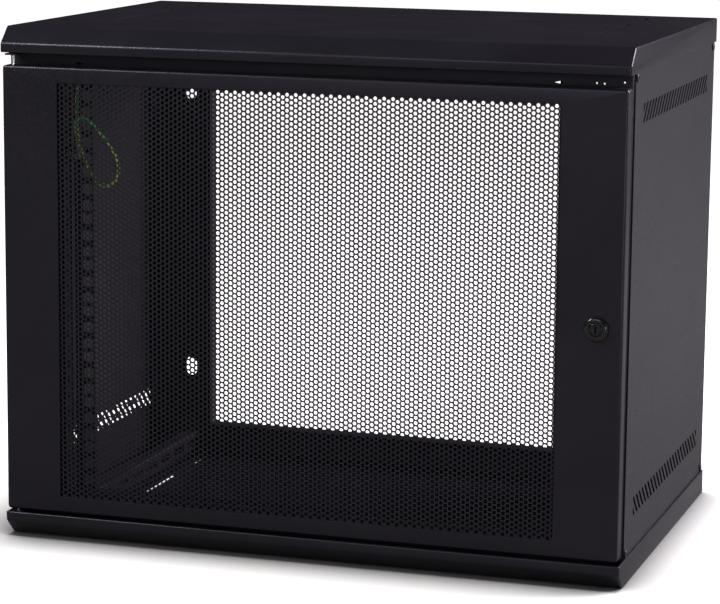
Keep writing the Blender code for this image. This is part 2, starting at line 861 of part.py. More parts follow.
def earth_stud(name, z, body):
    """A stud with a hexagon boss, on the left return flange of the front frame."""
    boss_end = STUD_FACE + BOSS_LENGTH
    steps = (
        (BOSS_RADIUS, STUD_FACE),
        (BOSS_RADIUS, boss_end),
        (STUD_RADIUS, boss_end),
        (STUD_RADIUS, boss_end + STUD_LENGTH),
    )
    piece(name, turned("x", (STUD_Y, z), steps, 6), STEEL, body)


def earth_lug(name, z, way, body):
    """A ring terminal; its barrel points up where way is +1 and down where it is -1."""
    ring_steps = (
        (LUG_BORE, LUG_X),
        (LUG_RING, LUG_X),
        (LUG_RING, LUG_X + LUG_SHEET),
        (LUG_BORE, LUG_X + LUG_SHEET),
    )
    made = piece(name, turned("x", (STUD_Y, z), ring_steps, 12, closed=True), TINNED, body)
    start, end = sorted((z + way * LUG_BARREL_START, z + way * LUG_BARREL_END))
    barrel = hole("z", (LEAD_X, STUD_Y), LUG_BARREL, start, end, 10)
    join(made, "barrel", [barrel])


def earth_nut(name, z, body):
    low = LUG_X + LUG_SHEET + GAP + WASHER_SPACE
    piece(name, hexagon_nut("x", (STUD_Y, z), low, EARTH_NUT), STEEL, body)


def smooth_route(points):
    """Evenly spaced points on the Catmull-Rom curve through a route's own points."""
    ends = [2 * Vector(points[0]) - Vector(points[1]), 2 * Vector(points[-1]) - Vector(points[-2])]
    knots = [ends[0], *map(Vector, points), ends[1]]
    dense = []
    for before, start, end, after in zip(knots, knots[1:], knots[2:], knots[3:]):
        for step in range(20):
            t = step / 20
            dense.append(
                0.5
                * (
                    2 * start
                    + t * (end - before)
                    + t * t * (2 * before - 5 * start + 4 * end - after)
                    + t * t * t * (3 * start - before - 3 * end + after)
                )
            )
    dense.append(Vector(points[-1]))
    lengths = [0.0]
    for a, b in zip(dense, dense[1:]):
        lengths.append(lengths[-1] + (b - a).length)
    count = round(lengths[-1] / LEAD_SPACING)
    even = []
    for step in range(count + 1):
        target = lengths[-1] * step / count
        index = next(i for i in range(1, len(lengths)) if lengths[i] >= target - 1e-6)
        share = (target - lengths[index - 1]) / (lengths[index] - lengths[index - 1])
        even.append(dense[index - 1].lerp(dense[index], share))
    return even


def earth_lead(body):
    """The green and yellow lead from the upper lug, round in an open loop, to the lower lug."""
    start = (LEAD_X, STUD_Y, UPPER_STUD_Z - LUG_BARREL_END - GAP)
    end = (LEAD_X, STUD_Y, LOWER_STUD_Z + LUG_BARREL_END + GAP)
    route = smooth_route((start, *LEAD_ROUTE, end))
    curve = bpy.data.curves.new("earth_lead", "CURVE")
    curve.dimensions = "3D"
    curve.bevel_depth = LEAD_RADIUS * MM
    curve.bevel_resolution = 2
    curve.use_fill_caps = True
    line = curve.splines.new("POLY")
    line.points.add(len(route) - 1)
    for spot, place in zip(line.points, route):
        spot.co = (*(place * MM), 1.0)
    lead = bpy.data.objects.new("earth_lead", curve)
    bpy.context.scene.collection.objects.link(lead)
    lead.parent = body
    curve.materials.append(paint("earth_lead", *GREEN))


# The whole cabinet


def build_chassis(body):
    cover("top_cover", lambda shape: shape, body)
    cover("base_cover", upside_down, body)
    front_frame(body)
    rear_frame(body)
    for word, side in (("left", -1), ("right", 1)):
        side_panel(f"{word}_side_panel", side, body)
        depth_bracket(f"{word}_lower_depth_bracket", side, lambda shape: shape, body)
        depth_bracket(f"{word}_upper_depth_bracket", side, upside_down, body)
        for number, place in enumerate(screw_places(), 1):
            side_screw(f"{word}_panel_screw_{number}", side, place, body)
    hinge_plate("upper_hinge_plate", UPPER_PLATE, body)
    hinge_plate("lower_hinge_plate", LOWER_PLATE, body)
    for word, z, way in (("upper", UPPER_STUD_Z, -1), ("lower", LOWER_STUD_Z, 1)):
        earth_stud(f"{word}_earth_stud", z, body)
        earth_lug(f"{word}_earth_lug", z, way, body)
        earth_nut(f"{word}_earth_nut", z, body)
    earth_lead(body)


def build_rail(word, side, body):
    rail(f"{word}_rail", side, body)
    for level, z in (("lower", RAIL_BOLT_Z), ("upper", HEIGHT - RAIL_BOLT_Z)):
        rail_bolt(f"{word}_{level}_rail_bolt", side, z, body)
        rail_nut(f"{word}_{level}_rail_nut", side, z, body)


def build_door(door, pin, lock):
    door_frame(door)
    door_screen(door)
    lower_hinge_pin(door)
    pin_guide(door)
    pin_spring(door)
    lock_body(door)
    lock_nut(door)
    upper_hinge_pin(pin)
    lock_barrel(lock)
    lock_cam(lock)
    cam_nut(lock)


def build():
    for old in list(bpy.data.objects):
        bpy.data.objects.remove(old, do_unlink=True)
    chassis = carrier("chassis", (0.0, 0.0, 0.0))
    door = carrier("door_axis", (HINGE_X, HINGE_Y, (DOOR[1] + DOOR[3]) / 2), chassis)
    pin = carrier("pin_axis", (HINGE_X, HINGE_Y, PIN_TOP), door)
    lock = carrier("lock_axis", (LOCK_X, DOOR_FACE, LOCK_Z), door)
    build_chassis(chassis)
    build_door(door, pin, lock)
    for word, side in (("left", -1), ("right", 1)):
        slide = carrier(f"{word}_rail_slide", (side * RAIL_OUTER, RAIL_FACE, HEIGHT / 2), chassis)
        build_rail(word, side, slide)


build()
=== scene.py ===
"""The looks of the wall-mount network cabinet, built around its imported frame.

Sizes are in millimetres and become metres when a mesh is made. +Z is up and the door faces -Y.
"""

from math import atan2, copysign, cos, pi, radians, sin, tan

import bmesh
import bpy
import numpy as np
from mathutils import Matrix, Vector


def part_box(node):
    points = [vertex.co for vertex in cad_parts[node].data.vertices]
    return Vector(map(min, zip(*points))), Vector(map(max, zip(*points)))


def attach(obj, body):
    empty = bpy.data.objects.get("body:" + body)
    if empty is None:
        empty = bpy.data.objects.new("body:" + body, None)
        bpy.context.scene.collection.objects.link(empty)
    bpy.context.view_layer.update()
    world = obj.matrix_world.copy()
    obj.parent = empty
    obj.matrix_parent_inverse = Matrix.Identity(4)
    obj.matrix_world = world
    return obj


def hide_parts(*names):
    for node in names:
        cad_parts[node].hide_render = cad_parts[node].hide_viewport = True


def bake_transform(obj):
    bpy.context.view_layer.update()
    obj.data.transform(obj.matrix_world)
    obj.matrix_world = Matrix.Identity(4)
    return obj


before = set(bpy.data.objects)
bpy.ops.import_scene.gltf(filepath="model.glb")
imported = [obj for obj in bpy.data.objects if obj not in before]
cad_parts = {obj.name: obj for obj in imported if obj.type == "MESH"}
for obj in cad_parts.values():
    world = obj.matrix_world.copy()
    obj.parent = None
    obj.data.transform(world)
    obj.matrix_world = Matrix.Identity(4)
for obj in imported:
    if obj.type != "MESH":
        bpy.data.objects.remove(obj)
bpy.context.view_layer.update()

MM = 0.001

# ---- places read from the frame


def corners(node):
    """A node's lowest and highest corners in millimetres."""
    low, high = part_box(node)
    return low / MM, high / MM


def front_box(node):
    """A node's (left, low, right, high) from the front."""
    low, high = corners(node)
    return (low.x, low.z, high.x, high.z)


def grown(box, amount):
    return (box[0] - amount, box[1] - amount, box[2] + amount, box[3] + amount)


COVER_LOW, COVER_HIGH = corners("top_cover")
DOOR_LOW, DOOR_HIGH = corners("door_frame")
SCREEN_LOW, SCREEN_HIGH = corners("door_screen")
LOCK_LOW, LOCK_HIGH = corners("lock_body")
HEIGHT = COVER_HIGH.z
RIGHT = COVER_HIGH.x
BACK = COVER_HIGH.y

# ---- sizes shared by several pieces

# Too small to see, but enough to keep points apart
HAIR = 0.05
# The clearance between pieces that move on each other
GAP = 0.3
SHEET = 1.5
THIN_SHEET = 1.2
FRAME_BEND = 2.0
FRAME_CORNER = 3.0
LEAST_CORNER = 0.3
OPENING_CORNER = 0.6

# Covers
CHAMFER_DEPTH = 16.0
CHAMFER_HEIGHT = 15.2
BEND = 1.8
RIM_EDGE = 1.2
OUTSIDE_CORNERS = 10
SLIT = 2.5
SIDE_SLIT = 4.5
BRIDGE = 4.0
KNOCKOUT_HALF_WIDTH = 237.0
KNOCKOUTS = ((-70.0, 79.0), (132.0, 163.0))

# Frames and side panels, where a box is (left, low, right, high)
WINDOW_HALF_WIDTH = 246.0
WINDOW_LEVELS = (44.0, 444.0)
FRAME_FLANGES = (26.0, 16.0)
LOCK_SLOT = (262.0, 209.0, 284.0, 252.0)
LOCK_SLOT_CORNER = 2.0
TOP_SLOT = ((225.7, 453.7), (233.0, 452.4), (233.0, 455.4), (230.5, 455.2), (225.7, 454.1))
TOP_HOLES = ((263.5, 454.6), (270.5, 454.3), (288.6, 456.0))
TOP_HOLE = 0.9
REAR_WINDOW = (-234.5, 35.0, 234.5, 453.0)
REAR_FLANGES = (15.0, 20.0)
KEYHOLE_X = 263.0
KEYHOLE_LEVELS = (94.0, 394.0)
KEYHOLE = (12.0, 20.0)
SCREW_FRONT_Y = -168.0
SCREW_REAR_Y = 190.0
SCREW_LEVELS = (28.0, 460.0)
SCREW_HOLE = 2.3
PANEL_EDGE = 0.35

# Rails and the brackets that carry them
UNIT = 44.45
UNITS = 9
UNIT_HOLES = (6.35, 22.225, 38.1)
RAIL_HOLE = 9.5
RAIL_HOLE_CORNER = 0.5
RAIL_HOLE_X = 232.55
RAIL_BOLT_Y = -118.0
RAIL_BOLT_Z = 18.0
BOLT_HOLE = 2.9
BRACKET_SLOTS = 8
BRACKET_FIRST = -115.0
BRACKET_PITCH = 39.0
BRACKET_SLOT = (28.0, 6.4)

# Door
DOOR_BEND = 2.6
DOOR_CORNER = 3.2
DOOR_EDGE = 0.3
SCREEN_CORNER = 2.0
SCREEN_MARGIN = 8.0
SCREEN = front_box("door_screen")
WINDOW = grown(SCREEN, -SCREEN_MARGIN)
WINDOW_CORNER = 0.85
HOLE_RADIUS = 1.875
HOLE_PITCH = 4.83
COLUMN_PITCH = HOLE_PITCH * cos(radians(30))
COLUMNS = 116
ROWS = 82
STRIPS = 4
HOLE_SIDES = 8

# Hinge
HINGE_X = -291.0
HINGE_Y = -190.0
HINGE = (HINGE_X, HINGE_Y)
PIN_RADIUS = 2.2
PIN_HOLE = 2.6
PIN_COLLAR = 3.4
PIN_TIP = 0.9
PIN_BEND = 4.0
PIN_SIDES = 32
COIL_RADIUS = 3.2
COIL_TURNS = 9
COIL_FLAT = 0.6
COIL_STEPS = 24
COIL_SIDES = 10

# Lock
LOCK = ((LOCK_LOW.x + LOCK_HIGH.x) / 2, (LOCK_LOW.z + LOCK_HIGH.z) / 2)
LOCK_HOLE = 9.3
LOCK_DOME = 3.4
SHARP_TURN = 1.2

# Screws, nuts and studs
ROUND_SIDES = 48
NUT_TRIM = 0.12
NUT_RIM = 0.15

PLACES = {"x": (1, 2, 0), "y": (0, 2, 1), "z": (0, 1, 2)}

# ---- loops and closed shapes


def point(axis, u, v, level):
    place = [0.0, 0.0, 0.0]
    for index, value in zip(PLACES[axis], (u, v, level)):
        place[index] = value
    return tuple(place)


def arc(centre, radius, angles):
    """Points on a circle at angles in degrees."""
    turns = [radians(angle) for angle in angles]
    return [(centre[0] + radius * cos(turn), centre[1] + radius * sin(turn)) for turn in turns]


def circle(axis, level, centre, radius, sides):
    spots = arc(centre, radius, [360 * side / sides for side in range(sides)])
    return [point(axis, *spot, level) for spot in spots]


def rounded_rectangle(axis, level, box, radius, steps=3):
    """A rectangle whose corners are arcs."""
    u0, v0, u1, v1 = grown(box, -radius)
    loop = []
    for centre, start in (((u1, v1), 0), ((u0, v1), 90), ((u0, v0), 180), ((u1, v0), 270)):
        spots = arc(centre, radius, [start + 90 * step / steps for step in range(steps + 1)])
        loop += [point(axis, *spot, level) for spot in spots]
    return loop


def box_round(centre, width, height):
    u, v = centre
    return (u - width / 2, v - height / 2, u + width / 2, v + height / 2)


def loft(loops, closed=False):
    """A skin through loops of equally many points, either closed into a ring or capped at both ends."""
    count = len(loops[0])
    pairs = [(k, (k + 1) % len(loops)) for k in range(len(loops) if closed else len(loops) - 1)]
    faces = [
        (a * count + i, a * count + (i + 1) % count, b * count + (i + 1) % count, b * count + i)
        for a, b in pairs
        for i in range(count)
    ]
    if not closed:
        last = (len(loops) - 1) * count
        faces += [tuple(range(count)), tuple(range(last, last + count))]
    return [p for loop in loops for p in loop], faces


def turned(axis, centre, steps, sides=32, closed=False):
    """A round piece through (radius, level) steps; closed leaves the hole inside the innermost steps."""
    return loft([circle(axis, level, centre, radius, sides) for radius, level in steps], closed)


def prism(outline, axis, low, high):
    return loft([[point(axis, u, v, level) for u, v in outline] for level in (low, high)])


def block(low, high):
    outline = ((low[0], low[1]), (high[0], low[1]), (high[0], high[1]), (low[0], high[1]))
    return prism(outline, "z", low[2], high[2])


def hole(axis, centre, radius, low, high, sides=24):
    return turned(axis, centre, ((radius, low), (radius, high)), sides)


def stadium(axis, box, low, high):
    """A cutter whose short sides are round."""
    radius = min(box[2] - box[0], box[3] - box[1]) / 2 - HAIR
    return loft([rounded_rectangle(axis, level, box, radius, 6) for level in (low, high)])


def turn_steps(count):
    """The sines and cosines of a quarter turn's steps."""
    return [(sin(pi / 2 * i / count), cos(pi / 2 * i / count)) for i in range(count + 1)]


def bend_steps(size, count=4, deep=0.0):
    """(level, inset) steps round a sheet's bend from its face to its side, deep below the outer surface."""
    return [(deep + size * (1 - c), deep + size * (1 - s)) for s, c in turn_steps(count)]


def round_edge(radius, level, size, count=4):
    """(radius, level) steps from a flat end out to a radius, towards -axis if the size is negative."""
    return [(radius - abs(size) * (1 - s), level + size * (1 - c)) for s, c in turn_steps(count)]


def pressed_ring(outer, inner, face, way, flanges, sheet):
    """A pressed sheet ring with rounded bends and a flange round its outside and its window."""
    outer_flange, inner_flange = flanges
    outer_bend = bend_steps(FRAME_BEND)
    inner_bend = bend_steps(FRAME_BEND - sheet, deep=sheet)

    def outside(level, inset):
        corner = max(FRAME_CORNER - inset, LEAST_CORNER)
        return rounded_rectangle("y", face + way * level, grown(outer, -inset), corner)

    def inside(level, grow):
        return rounded_rectangle("y", face + way * level, grown(inner, grow), OPENING_CORNER + grow)

    loops = [outside(*step) for step in outer_bend]
    loops += [outside(outer_flange, 0.0), outside(outer_flange, sheet)]
    loops += [outside(*step) for step in reversed(inner_bend)]
    loops += [inside(*step) for step in inner_bend]
    loops += [inside(inner_flange, sheet), inside(inner_flange, 0.0)]
    loops += [inside(*step) for step in reversed(outer_bend)]
    return loft(loops, closed=True)


def pressed_tray(axis, outer, face, depth):
    """A shallow pressed tray with rounded bends, open on the side away from its face."""

    def ring(level, inset):
        corner = max(FRAME_BEND - inset, LEAST_CORNER)
        return rounded_rectangle(axis, face + level, grown(outer, -inset), corner)

    loops = [ring(*step) for step in bend_steps(FRAME_BEND - SHEET, deep=SHEET)]
    loops += [ring(depth, SHEET), ring(depth, 0.0)]
    loops += [ring(*step) for step in reversed(bend_steps(FRAME_BEND))]
    return loft(loops)


def angle_outline(corner, ends):
    """The section of a sheet angle: its outer corner, the far ends of its two legs, and a rounded bend."""
    u, v = corner
    du, dv = copysign(1, ends[0] - u), copysign(1, ends[1] - v)
    inner_bend = reversed(bend_steps(FRAME_BEND - SHEET, 5, SHEET))
    outline = [(ends[0], v)]
    outline += [(u + du * inset, v + dv * level) for level, inset in bend_steps(FRAME_BEND, 5)]
    outline += [(u, ends[1]), (u + du * SHEET, ends[1])]
    outline += [(u + du * inset, v + dv * level) for level, inset in inner_bend]
    outline.append((ends[0], v + dv * SHEET))
    return outline


def flat_reach(radius):
    """How far the end face of a chamfered hexagon reaches."""
    return radius * cos(pi / 6) + NUT_RIM


def hexagon(axis, level, centre, radius, limit):
    """A hexagon with a radius to its corners, trimmed by a circle."""
    loop = []
    for side in range(ROUND_SIDES):
        angle = 360 * side / ROUND_SIDES
        lean = radians(angle % 60 - 30)
        reach = min(radius * cos(pi / 6) / cos(lean), limit)
        loop += [point(axis, *spot, level) for spot in arc(centre, reach, (angle,))]
    return loop


def nut_shape(axis, centre, low, radius, bore, height, flange=0.0):
    """A chamfered hexagon nut with a bore, and a round flange at its low end if one is asked for."""
    trim = NUT_TRIM * height
    flat = flat_reach(radius)
    high = low + height
    loops = [circle(axis, low, centre, bore, ROUND_SIDES)]
    if flange:
        loops += [circle(axis, level, centre, flange, ROUND_SIDES) for level in (low, low + trim)]
        loops.append(hexagon(axis, low + trim, centre, radius, radius))
    else:
        loops.append(hexagon(axis, low, centre, radius, flat))
    ends = ((low + 2 * trim, radius), (high - trim, radius), (high, flat))
    loops += [hexagon(axis, level, centre, radius, limit) for level, limit in ends]
    loops.append(circle(axis, high, centre, bore, ROUND_SIDES))
    return loft(loops, closed=True)


def merged(shapes):
    points, faces = [], []
    for shape_points, shape_faces in shapes:
        faces += [tuple(len(points) + i for i in face) for face in shape_faces]
        points += shape_points
    return points, faces


def mirrored(shape, side):
    points, faces = shape
    return [(side * x, y, z) for x, y, z in points], faces


def upright(shape):
    return shape


def upside_down(shape):
    points, faces = shape
    return [(x, y, HEIGHT - z) for x, y, z in points], faces


# ---- objects


def add_object(name, data):
    made = bpy.data.objects.new(name, data)
    bpy.context.scene.collection.objects.link(made)
    return made


def new_object(name, shape):
    points, faces = shape
    mesh = bpy.data.meshes.new(name)
    mesh.from_pydata([tuple(c * MM for c in p) for p in points], [], faces)
    shell = bmesh.new()
    shell.from_mesh(mesh)
    bmesh.ops.recalc_face_normals(shell, faces=shell.faces)
    shell.to_mesh(mesh)
    shell.free()
    return add_object(name, mesh)


def smooth(made, angle):
    made.data.shade_smooth()
    made.data.set_sharp_from_angle(angle=radians(angle))


def rounded(made, width, segments, picks):
    """Rounds the edges that picks(edge) chooses."""
    shell = bmesh.new()
    shell.from_mesh(made.data)
    edges = [edge for edge in shell.edges if picks(edge)]
    bmesh.ops.bevel(shell, geom=edges, offset=width * MM, segments=segments, profile=0.5, affect="EDGES")
    shell.to_mesh(made.data)
    shell.free()


def carve(made, shapes, operation="DIFFERENCE"):
    """Cuts shapes that are clear of each other out of a piece, or joins them to it."""
    tool = new_object(f"{made.name}_tool", merged(shapes))
    change = made.modifiers.new("carve", "BOOLEAN")
    change.operation = operation
    change.solver = "EXACT"
    change.object = tool
    graph = bpy.context.evaluated_depsgraph_get()
    result = bpy.data.meshes.new_from_object(made.evaluated_get(graph))
    made.modifiers.remove(change)
    made.data = result
    bpy.data.objects.remove(tool, do_unlink=True)


def paint(made, slot):
    made.data.materials.clear()
    made.data.materials.append(MATERIALS[slot])


def piece(made, body, slot, *nodes, crease=32):
    """Gives an object its shading, its material, its body, its slot, and the CAD nodes that it stands for."""
    if crease:
        smooth(made, crease)
    paint(made, slot)
    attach(made, body)
    if nodes:
        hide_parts(*nodes)


# ---- materials


class Nodes:
    """A material's node tree, with short ways to add and join nodes."""

    def __init__(self, name, colour, roughness, metallic=0.0, specular=0.5):
        self.material = bpy.data.materials.new(name)
        self.material.use_nodes = True
        self.tree = self.material.node_tree
        self.shader = self.tree.nodes["Principled BSDF"]
        self.shader.inputs["Base Color"].default_value = (*colour, 1.0)
        self.shader.inputs["Roughness"].default_value = roughness
        self.shader.inputs["Metallic"].default_value = metallic
        self.shader.inputs["Specular IOR Level"].default_value = specular
        self.place = self.add("ShaderNodeTexCoord").outputs["Object"]

    def add(self, kind, inputs=None, **settings):
        node = self.tree.nodes.new(kind)
        for key, value in settings.items():
            setattr(node, key, value)
        for key, value in (inputs or {}).items():
            node.inputs[key].default_value = value
        return node

    def link(self, source, target):
        self.tree.links.new(source, target)

    def noise(self, scale, detail=2.0, roughness=0.5):
        node = self.add("ShaderNodeTexNoise", {"Scale": scale, "Detail": detail, "Roughness": roughness})
        self.link(self.place, node.inputs["Vector"])
        return node.outputs["Fac"]

    def spread(self, source, low, high):
        """Maps a texture's usual range to a range of values."""
        limits = {"From Min": 0.3, "From Max": 0.7, "To Min": low, "To Max": high}
        node = self.add("ShaderNodeMapRange", limits)
        self.link(source, node.inputs["Value"])
        return node.outputs["Result"]

    def shade(self, source, first, second, low=0.3, high=0.7):
        """A colour between two, by where a texture stands between low and high."""
        node = self.add("ShaderNodeValToRGB")
        for stop, level, colour in zip(node.color_ramp.elements, (low, high), (first, second)):
            stop.position = level
            stop.color = (*colour, 1.0)
        self.link(source, node.inputs["Fac"])
        return node.outputs["Color"]

    def bump(self, height, distance, strength, under=None):
        node = self.add("ShaderNodeBump", {"Distance": distance * MM, "Strength": strength})
        self.link(height, node.inputs["Height"])
        if under:
            self.link(under, node.inputs["Normal"])
        return node.outputs["Normal"]

    def set(self, name, source):
        self.link(source, self.shader.inputs[name])


COAT = (0.0090, 0.0084, 0.0118)
COAT_SHEEN = (0.87, 0.81, 1.0, 1.0)
JACKET_GREEN = (0.03, 0.52, 0.18)
JACKET_YELLOW = (0.92, 0.83, 0.09)


def powder_coat(name, colour, roughness):
    """Black powder coat, with a fine orange-peel skin and faint mottling."""
    made = Nodes(name, colour, roughness, specular=0.38)
    made.shader.inputs["Specular Tint"].default_value = COAT_SHEEN
    grain = made.noise(1100.0, 2.0, 0.55)
    peel = made.noise(420.0, 2.0, 0.5)
    cloud = made.noise(14.0, 3.0, 0.6)
    lighter = tuple(c * 1.18 + 0.0006 for c in colour)
    darker = tuple(c * 0.92 for c in colour)
    made.set("Base Color", made.shade(cloud, darker, lighter, 0.35, 0.68))
    made.set("Roughness", made.spread(peel, roughness - 0.05, roughness + 0.07))
    fine = made.bump(grain, 0.035, 0.55)
    made.set("Normal", made.bump(peel, 0.065, 0.5, under=fine))
    return made.material


def plated(name, colour, roughness, brushed=0.06):
    """Plated or bare steel with a slightly uneven polish."""
    made = Nodes(name, colour, roughness, metallic=1.0)
    fine = made.noise(900.0, 4.0, 0.6)
    blotch = made.noise(90.0, 3.0, 0.6)
    made.set("Base Color", made.shade(blotch, tuple(c * 0.86 for c in colour), colour))
    made.set("Roughness", made.spread(fine, roughness - brushed, roughness + brushed))
    made.set("Normal", made.bump(fine, 0.02, 0.4))
    return made.material


def gloss_black():
    """The lock rim's moulded dark gloss, with soft marks from handling."""
    made = Nodes("lock_gloss", (0.008, 0.008, 0.009), 0.16)
    marks = made.noise(300.0, 4.0, 0.65)
    made.set("Roughness", made.spread(marks, 0.08, 0.22))
    made.set("Base Color", made.shade(made.noise(60.0), (0.006, 0.006, 0.007), (0.012, 0.012, 0.013)))
    made.set("Normal", made.bump(marks, 0.01, 0.3))
    return made.material


def striped_jacket():
    """Green with two yellow stripes, which the sheath's own stripe values place."""
    made = Nodes("lead_jacket", JACKET_GREEN, 0.38)
    stripe = made.add("ShaderNodeAttribute", attribute_name="stripe").outputs["Fac"]
    made.set("Base Color", made.shade(stripe, JACKET_GREEN, JACKET_YELLOW, 0.46, 0.54))
    scuff = made.noise(700.0, 3.0, 0.6)
    made.set("Roughness", made.spread(scuff, 0.3, 0.46))
    made.set("Normal", made.bump(scuff, 0.02, 0.4))
    return made.material


MATERIALS = {
    "cover_paint": powder_coat("cover_coat", COAT, 0.33),
    "panel_paint": powder_coat("panel_coat", COAT, 0.42),
    "door_paint": powder_coat("door_coat", COAT, 0.33),
    "screen_paint": powder_coat("screen_coat", COAT, 0.42),
    "frame_paint": powder_coat("frame_coat", COAT, 0.42),
    "rail_paint": powder_coat("rail_coat", COAT, 0.44),
    "black_screw": powder_coat("black_oxide", (0.016, 0.016, 0.017), 0.4),
    "zinc": plated("zinc_plate", (0.55, 0.56, 0.58), 0.34),
    "chrome": plated("chrome_plate", (0.90, 0.89, 0.92), 0.24, 0.05),
    "spring_steel": plated("spring_steel", (0.36, 0.36, 0.37), 0.3),
    "tinned_copper": plated("tinned_copper", (0.58, 0.56, 0.52), 0.38, 0.08),
    "lock_gloss": gloss_black(),
    "lock_steel": plated("lock_steel", (0.055, 0.052, 0.060), 0.2),
    "lead_jacket": striped_jacket(),
}

# ---- camera and light

CAMERA_TURN = 17.664
CAMERA_RISE = 10.035
CAMERA_ROLL = 0.543
CAMERA_PLACE = (802.8, -2549.8, 686.3)
CAMERA_LENS = 138.06


def make_camera():
    turn, rise, roll = (radians(a) for a in (CAMERA_TURN, CAMERA_RISE, CAMERA_ROLL))
    ahead = Vector((-sin(turn) * cos(rise), cos(turn) * cos(rise), -sin(rise)))
    right = ahead.cross(Vector((0, 0, 1))).normalized()
    up = right.cross(ahead)
    tilted_right = cos(roll) * right + sin(roll) * up
    tilted_up = -sin(roll) * right + cos(roll) * up
    lens = bpy.data.cameras.new("camera")
    lens.lens = CAMERA_LENS
    lens.sensor_width = 36.0
    lens.clip_start = 0.05
    lens.clip_end = 100.0
    camera = add_object("camera", lens)
    axes = Matrix((tilted_right, tilted_up, -ahead)).transposed()
    camera.matrix_world = Matrix.Translation(Vector(CAMERA_PLACE) * MM) @ axes.to_4x4()
    bpy.context.scene.camera = camera


# Each softbox as (place, the point it faces, width and height, watts), in metres
SOFTBOXES = {
    "left_strip": ((-1.5, -1.5, 1.7), (-0.3, -0.2, 0.45), (0.25, 1.0), 30.0),
    "right_rear": ((2.2, 1.4, 1.5), (0.3, 0.1, 0.25), (1.2, 1.4), 118.0),
    "right_side": ((2.6, -0.4, 0.9), (0.3, 0.0, 0.25), (1.2, 1.2), 3.0),
    "front": ((-0.3, -3.4, 1.4), (0.0, -0.2, 0.25), (1.6, 1.2), 16.0),
    "low_right": ((1.3, -1.7, 0.25), (0.1, -0.2, 0.1), (0.7, 0.25), 4.0),
}
RIGHT_TINT = (1.0, 0.955, 1.02)
TINTS = {"right_rear": RIGHT_TINT, "right_side": RIGHT_TINT}
SUN_STRENGTH = 3.7
SUN_TINT = (1.0, 0.955, 0.955)
SUN_TURN = 82.0
SUN_TILT = 6.0
SUN_SPREAD = 24.0
FILL = 0.018
FLOOR_HALF = 9000.0
FLOOR_DEPTH = 0.5
FLOOR_PALE = (0.9, 0.9, 0.9)
FLOOR_SHADOW = (0.09, 0.09, 0.09)
FLOOR_BOUNCE = (0.16, 0.16, 0.16, 1.0)
CONTACT_REACH = 70.0
UNDER_BASE = (285.0, 180.0)


def softbox(name, place, target, size, power):
    light = bpy.data.lights.new(name, "AREA")
    light.shape = "RECTANGLE"
    light.size, light.size_y = size
    light.energy = power
    light.color = TINTS.get(name, (1.0, 1.0, 1.0))
    lamp = add_object(name, light)
    lamp.visible_camera = False
    lamp.location = place
    lamp.rotation_euler = (Vector(target) - Vector(place)).to_track_quat("-Z", "Y").to_euler()


def overhead_sun():
    """An even light from above, which whitens the floor and leaves no glare on the chamfer."""
    light = bpy.data.lights.new("overhead", "SUN")
    light.energy = SUN_STRENGTH
    light.color = SUN_TINT
    light.angle = radians(SUN_SPREAD)
    lamp = add_object("overhead", light)
    lamp.visible_glossy = False
    tilt, turn = radians(SUN_TILT), radians(SUN_TURN)
    source = Vector((sin(tilt) * sin(turn), sin(tilt) * cos(turn), cos(tilt)))
    lamp.rotation_euler = source.to_track_quat("Z", "Y").to_euler()


def surround():
    """White where the camera sees it, and a dim, even fill for everything else."""
    world = bpy.data.worlds.new("studio")
    bpy.context.scene.world = world
    world.use_nodes = True
    world.node_tree.nodes.clear()
    add, link = world.node_tree.nodes.new, world.node_tree.links.new
    output = add("ShaderNodeOutputWorld")
    path = add("ShaderNodeLightPath")
    mix = add("ShaderNodeMixShader")
    fill = add("ShaderNodeBackground")
    fill.inputs["Strength"].default_value = FILL
    seen = add("ShaderNodeBackground")
    seen.inputs["Color"].default_value = (1.0, 1.0, 1.0, 1.0)
    link(path.outputs["Is Camera Ray"], mix.inputs["Fac"])
    link(fill.outputs["Background"], mix.inputs[1])
    link(seen.outputs["Background"], mix.inputs[2])
    link(mix.outputs["Shader"], output.inputs["Surface"])


def floor_material():
    """Pale, with a painted soft contact shadow, where the camera sees it, and dimmer in what it throws back
    up.
    """
    made = Nodes("studio_white", FLOOR_PALE, 0.9, specular=0.0)
    seen = made.add("ShaderNodeLightPath").outputs["Is Camera Ray"]
    # Painted shadow: ambient occlusion darkens the floor's colour near the cabinet, down to FLOOR_SHADOW.
    contact = made.add("ShaderNodeAmbientOcclusion", {"Distance": CONTACT_REACH * MM})
    pale_with_painted_shadow = made.shade(contact.outputs["AO"], FLOOR_SHADOW, FLOOR_PALE, 0.42, 1.0)
    mix = made.add("ShaderNodeMix", {"A": FLOOR_BOUNCE}, data_type="RGBA")
    made.link(seen, mix.inputs["Factor"])
    made.link(pale_with_painted_shadow, mix.inputs["B"])
    made.set("Base Color", mix.outputs["Result"])
    return made.material


def make_floor():
    """The floor stops under the base, so that the base's slits show the white surround."""
    wide = (FLOOR_HALF, FLOOR_HALF)
    rings = ((wide, 0.0), (UNDER_BASE, 0.0), (UNDER_BASE, -FLOOR_DEPTH), (wide, -FLOOR_DEPTH))
    loops = [[(-u, -v, z), (u, -v, z), (u, v, z), (-u, v, z)] for (u, v), z in rings]
    floor = new_object("studio_floor", loft(loops, closed=True))
    floor.data.materials.append(floor_material())


def make_studio():
    make_floor()
    for name, settings in SOFTBOXES.items():
        softbox(name, *settings)
    overhead_sun()
    surround()
    bpy.context.scene.view_settings.view_transform = "Standard"


# ---- the covers


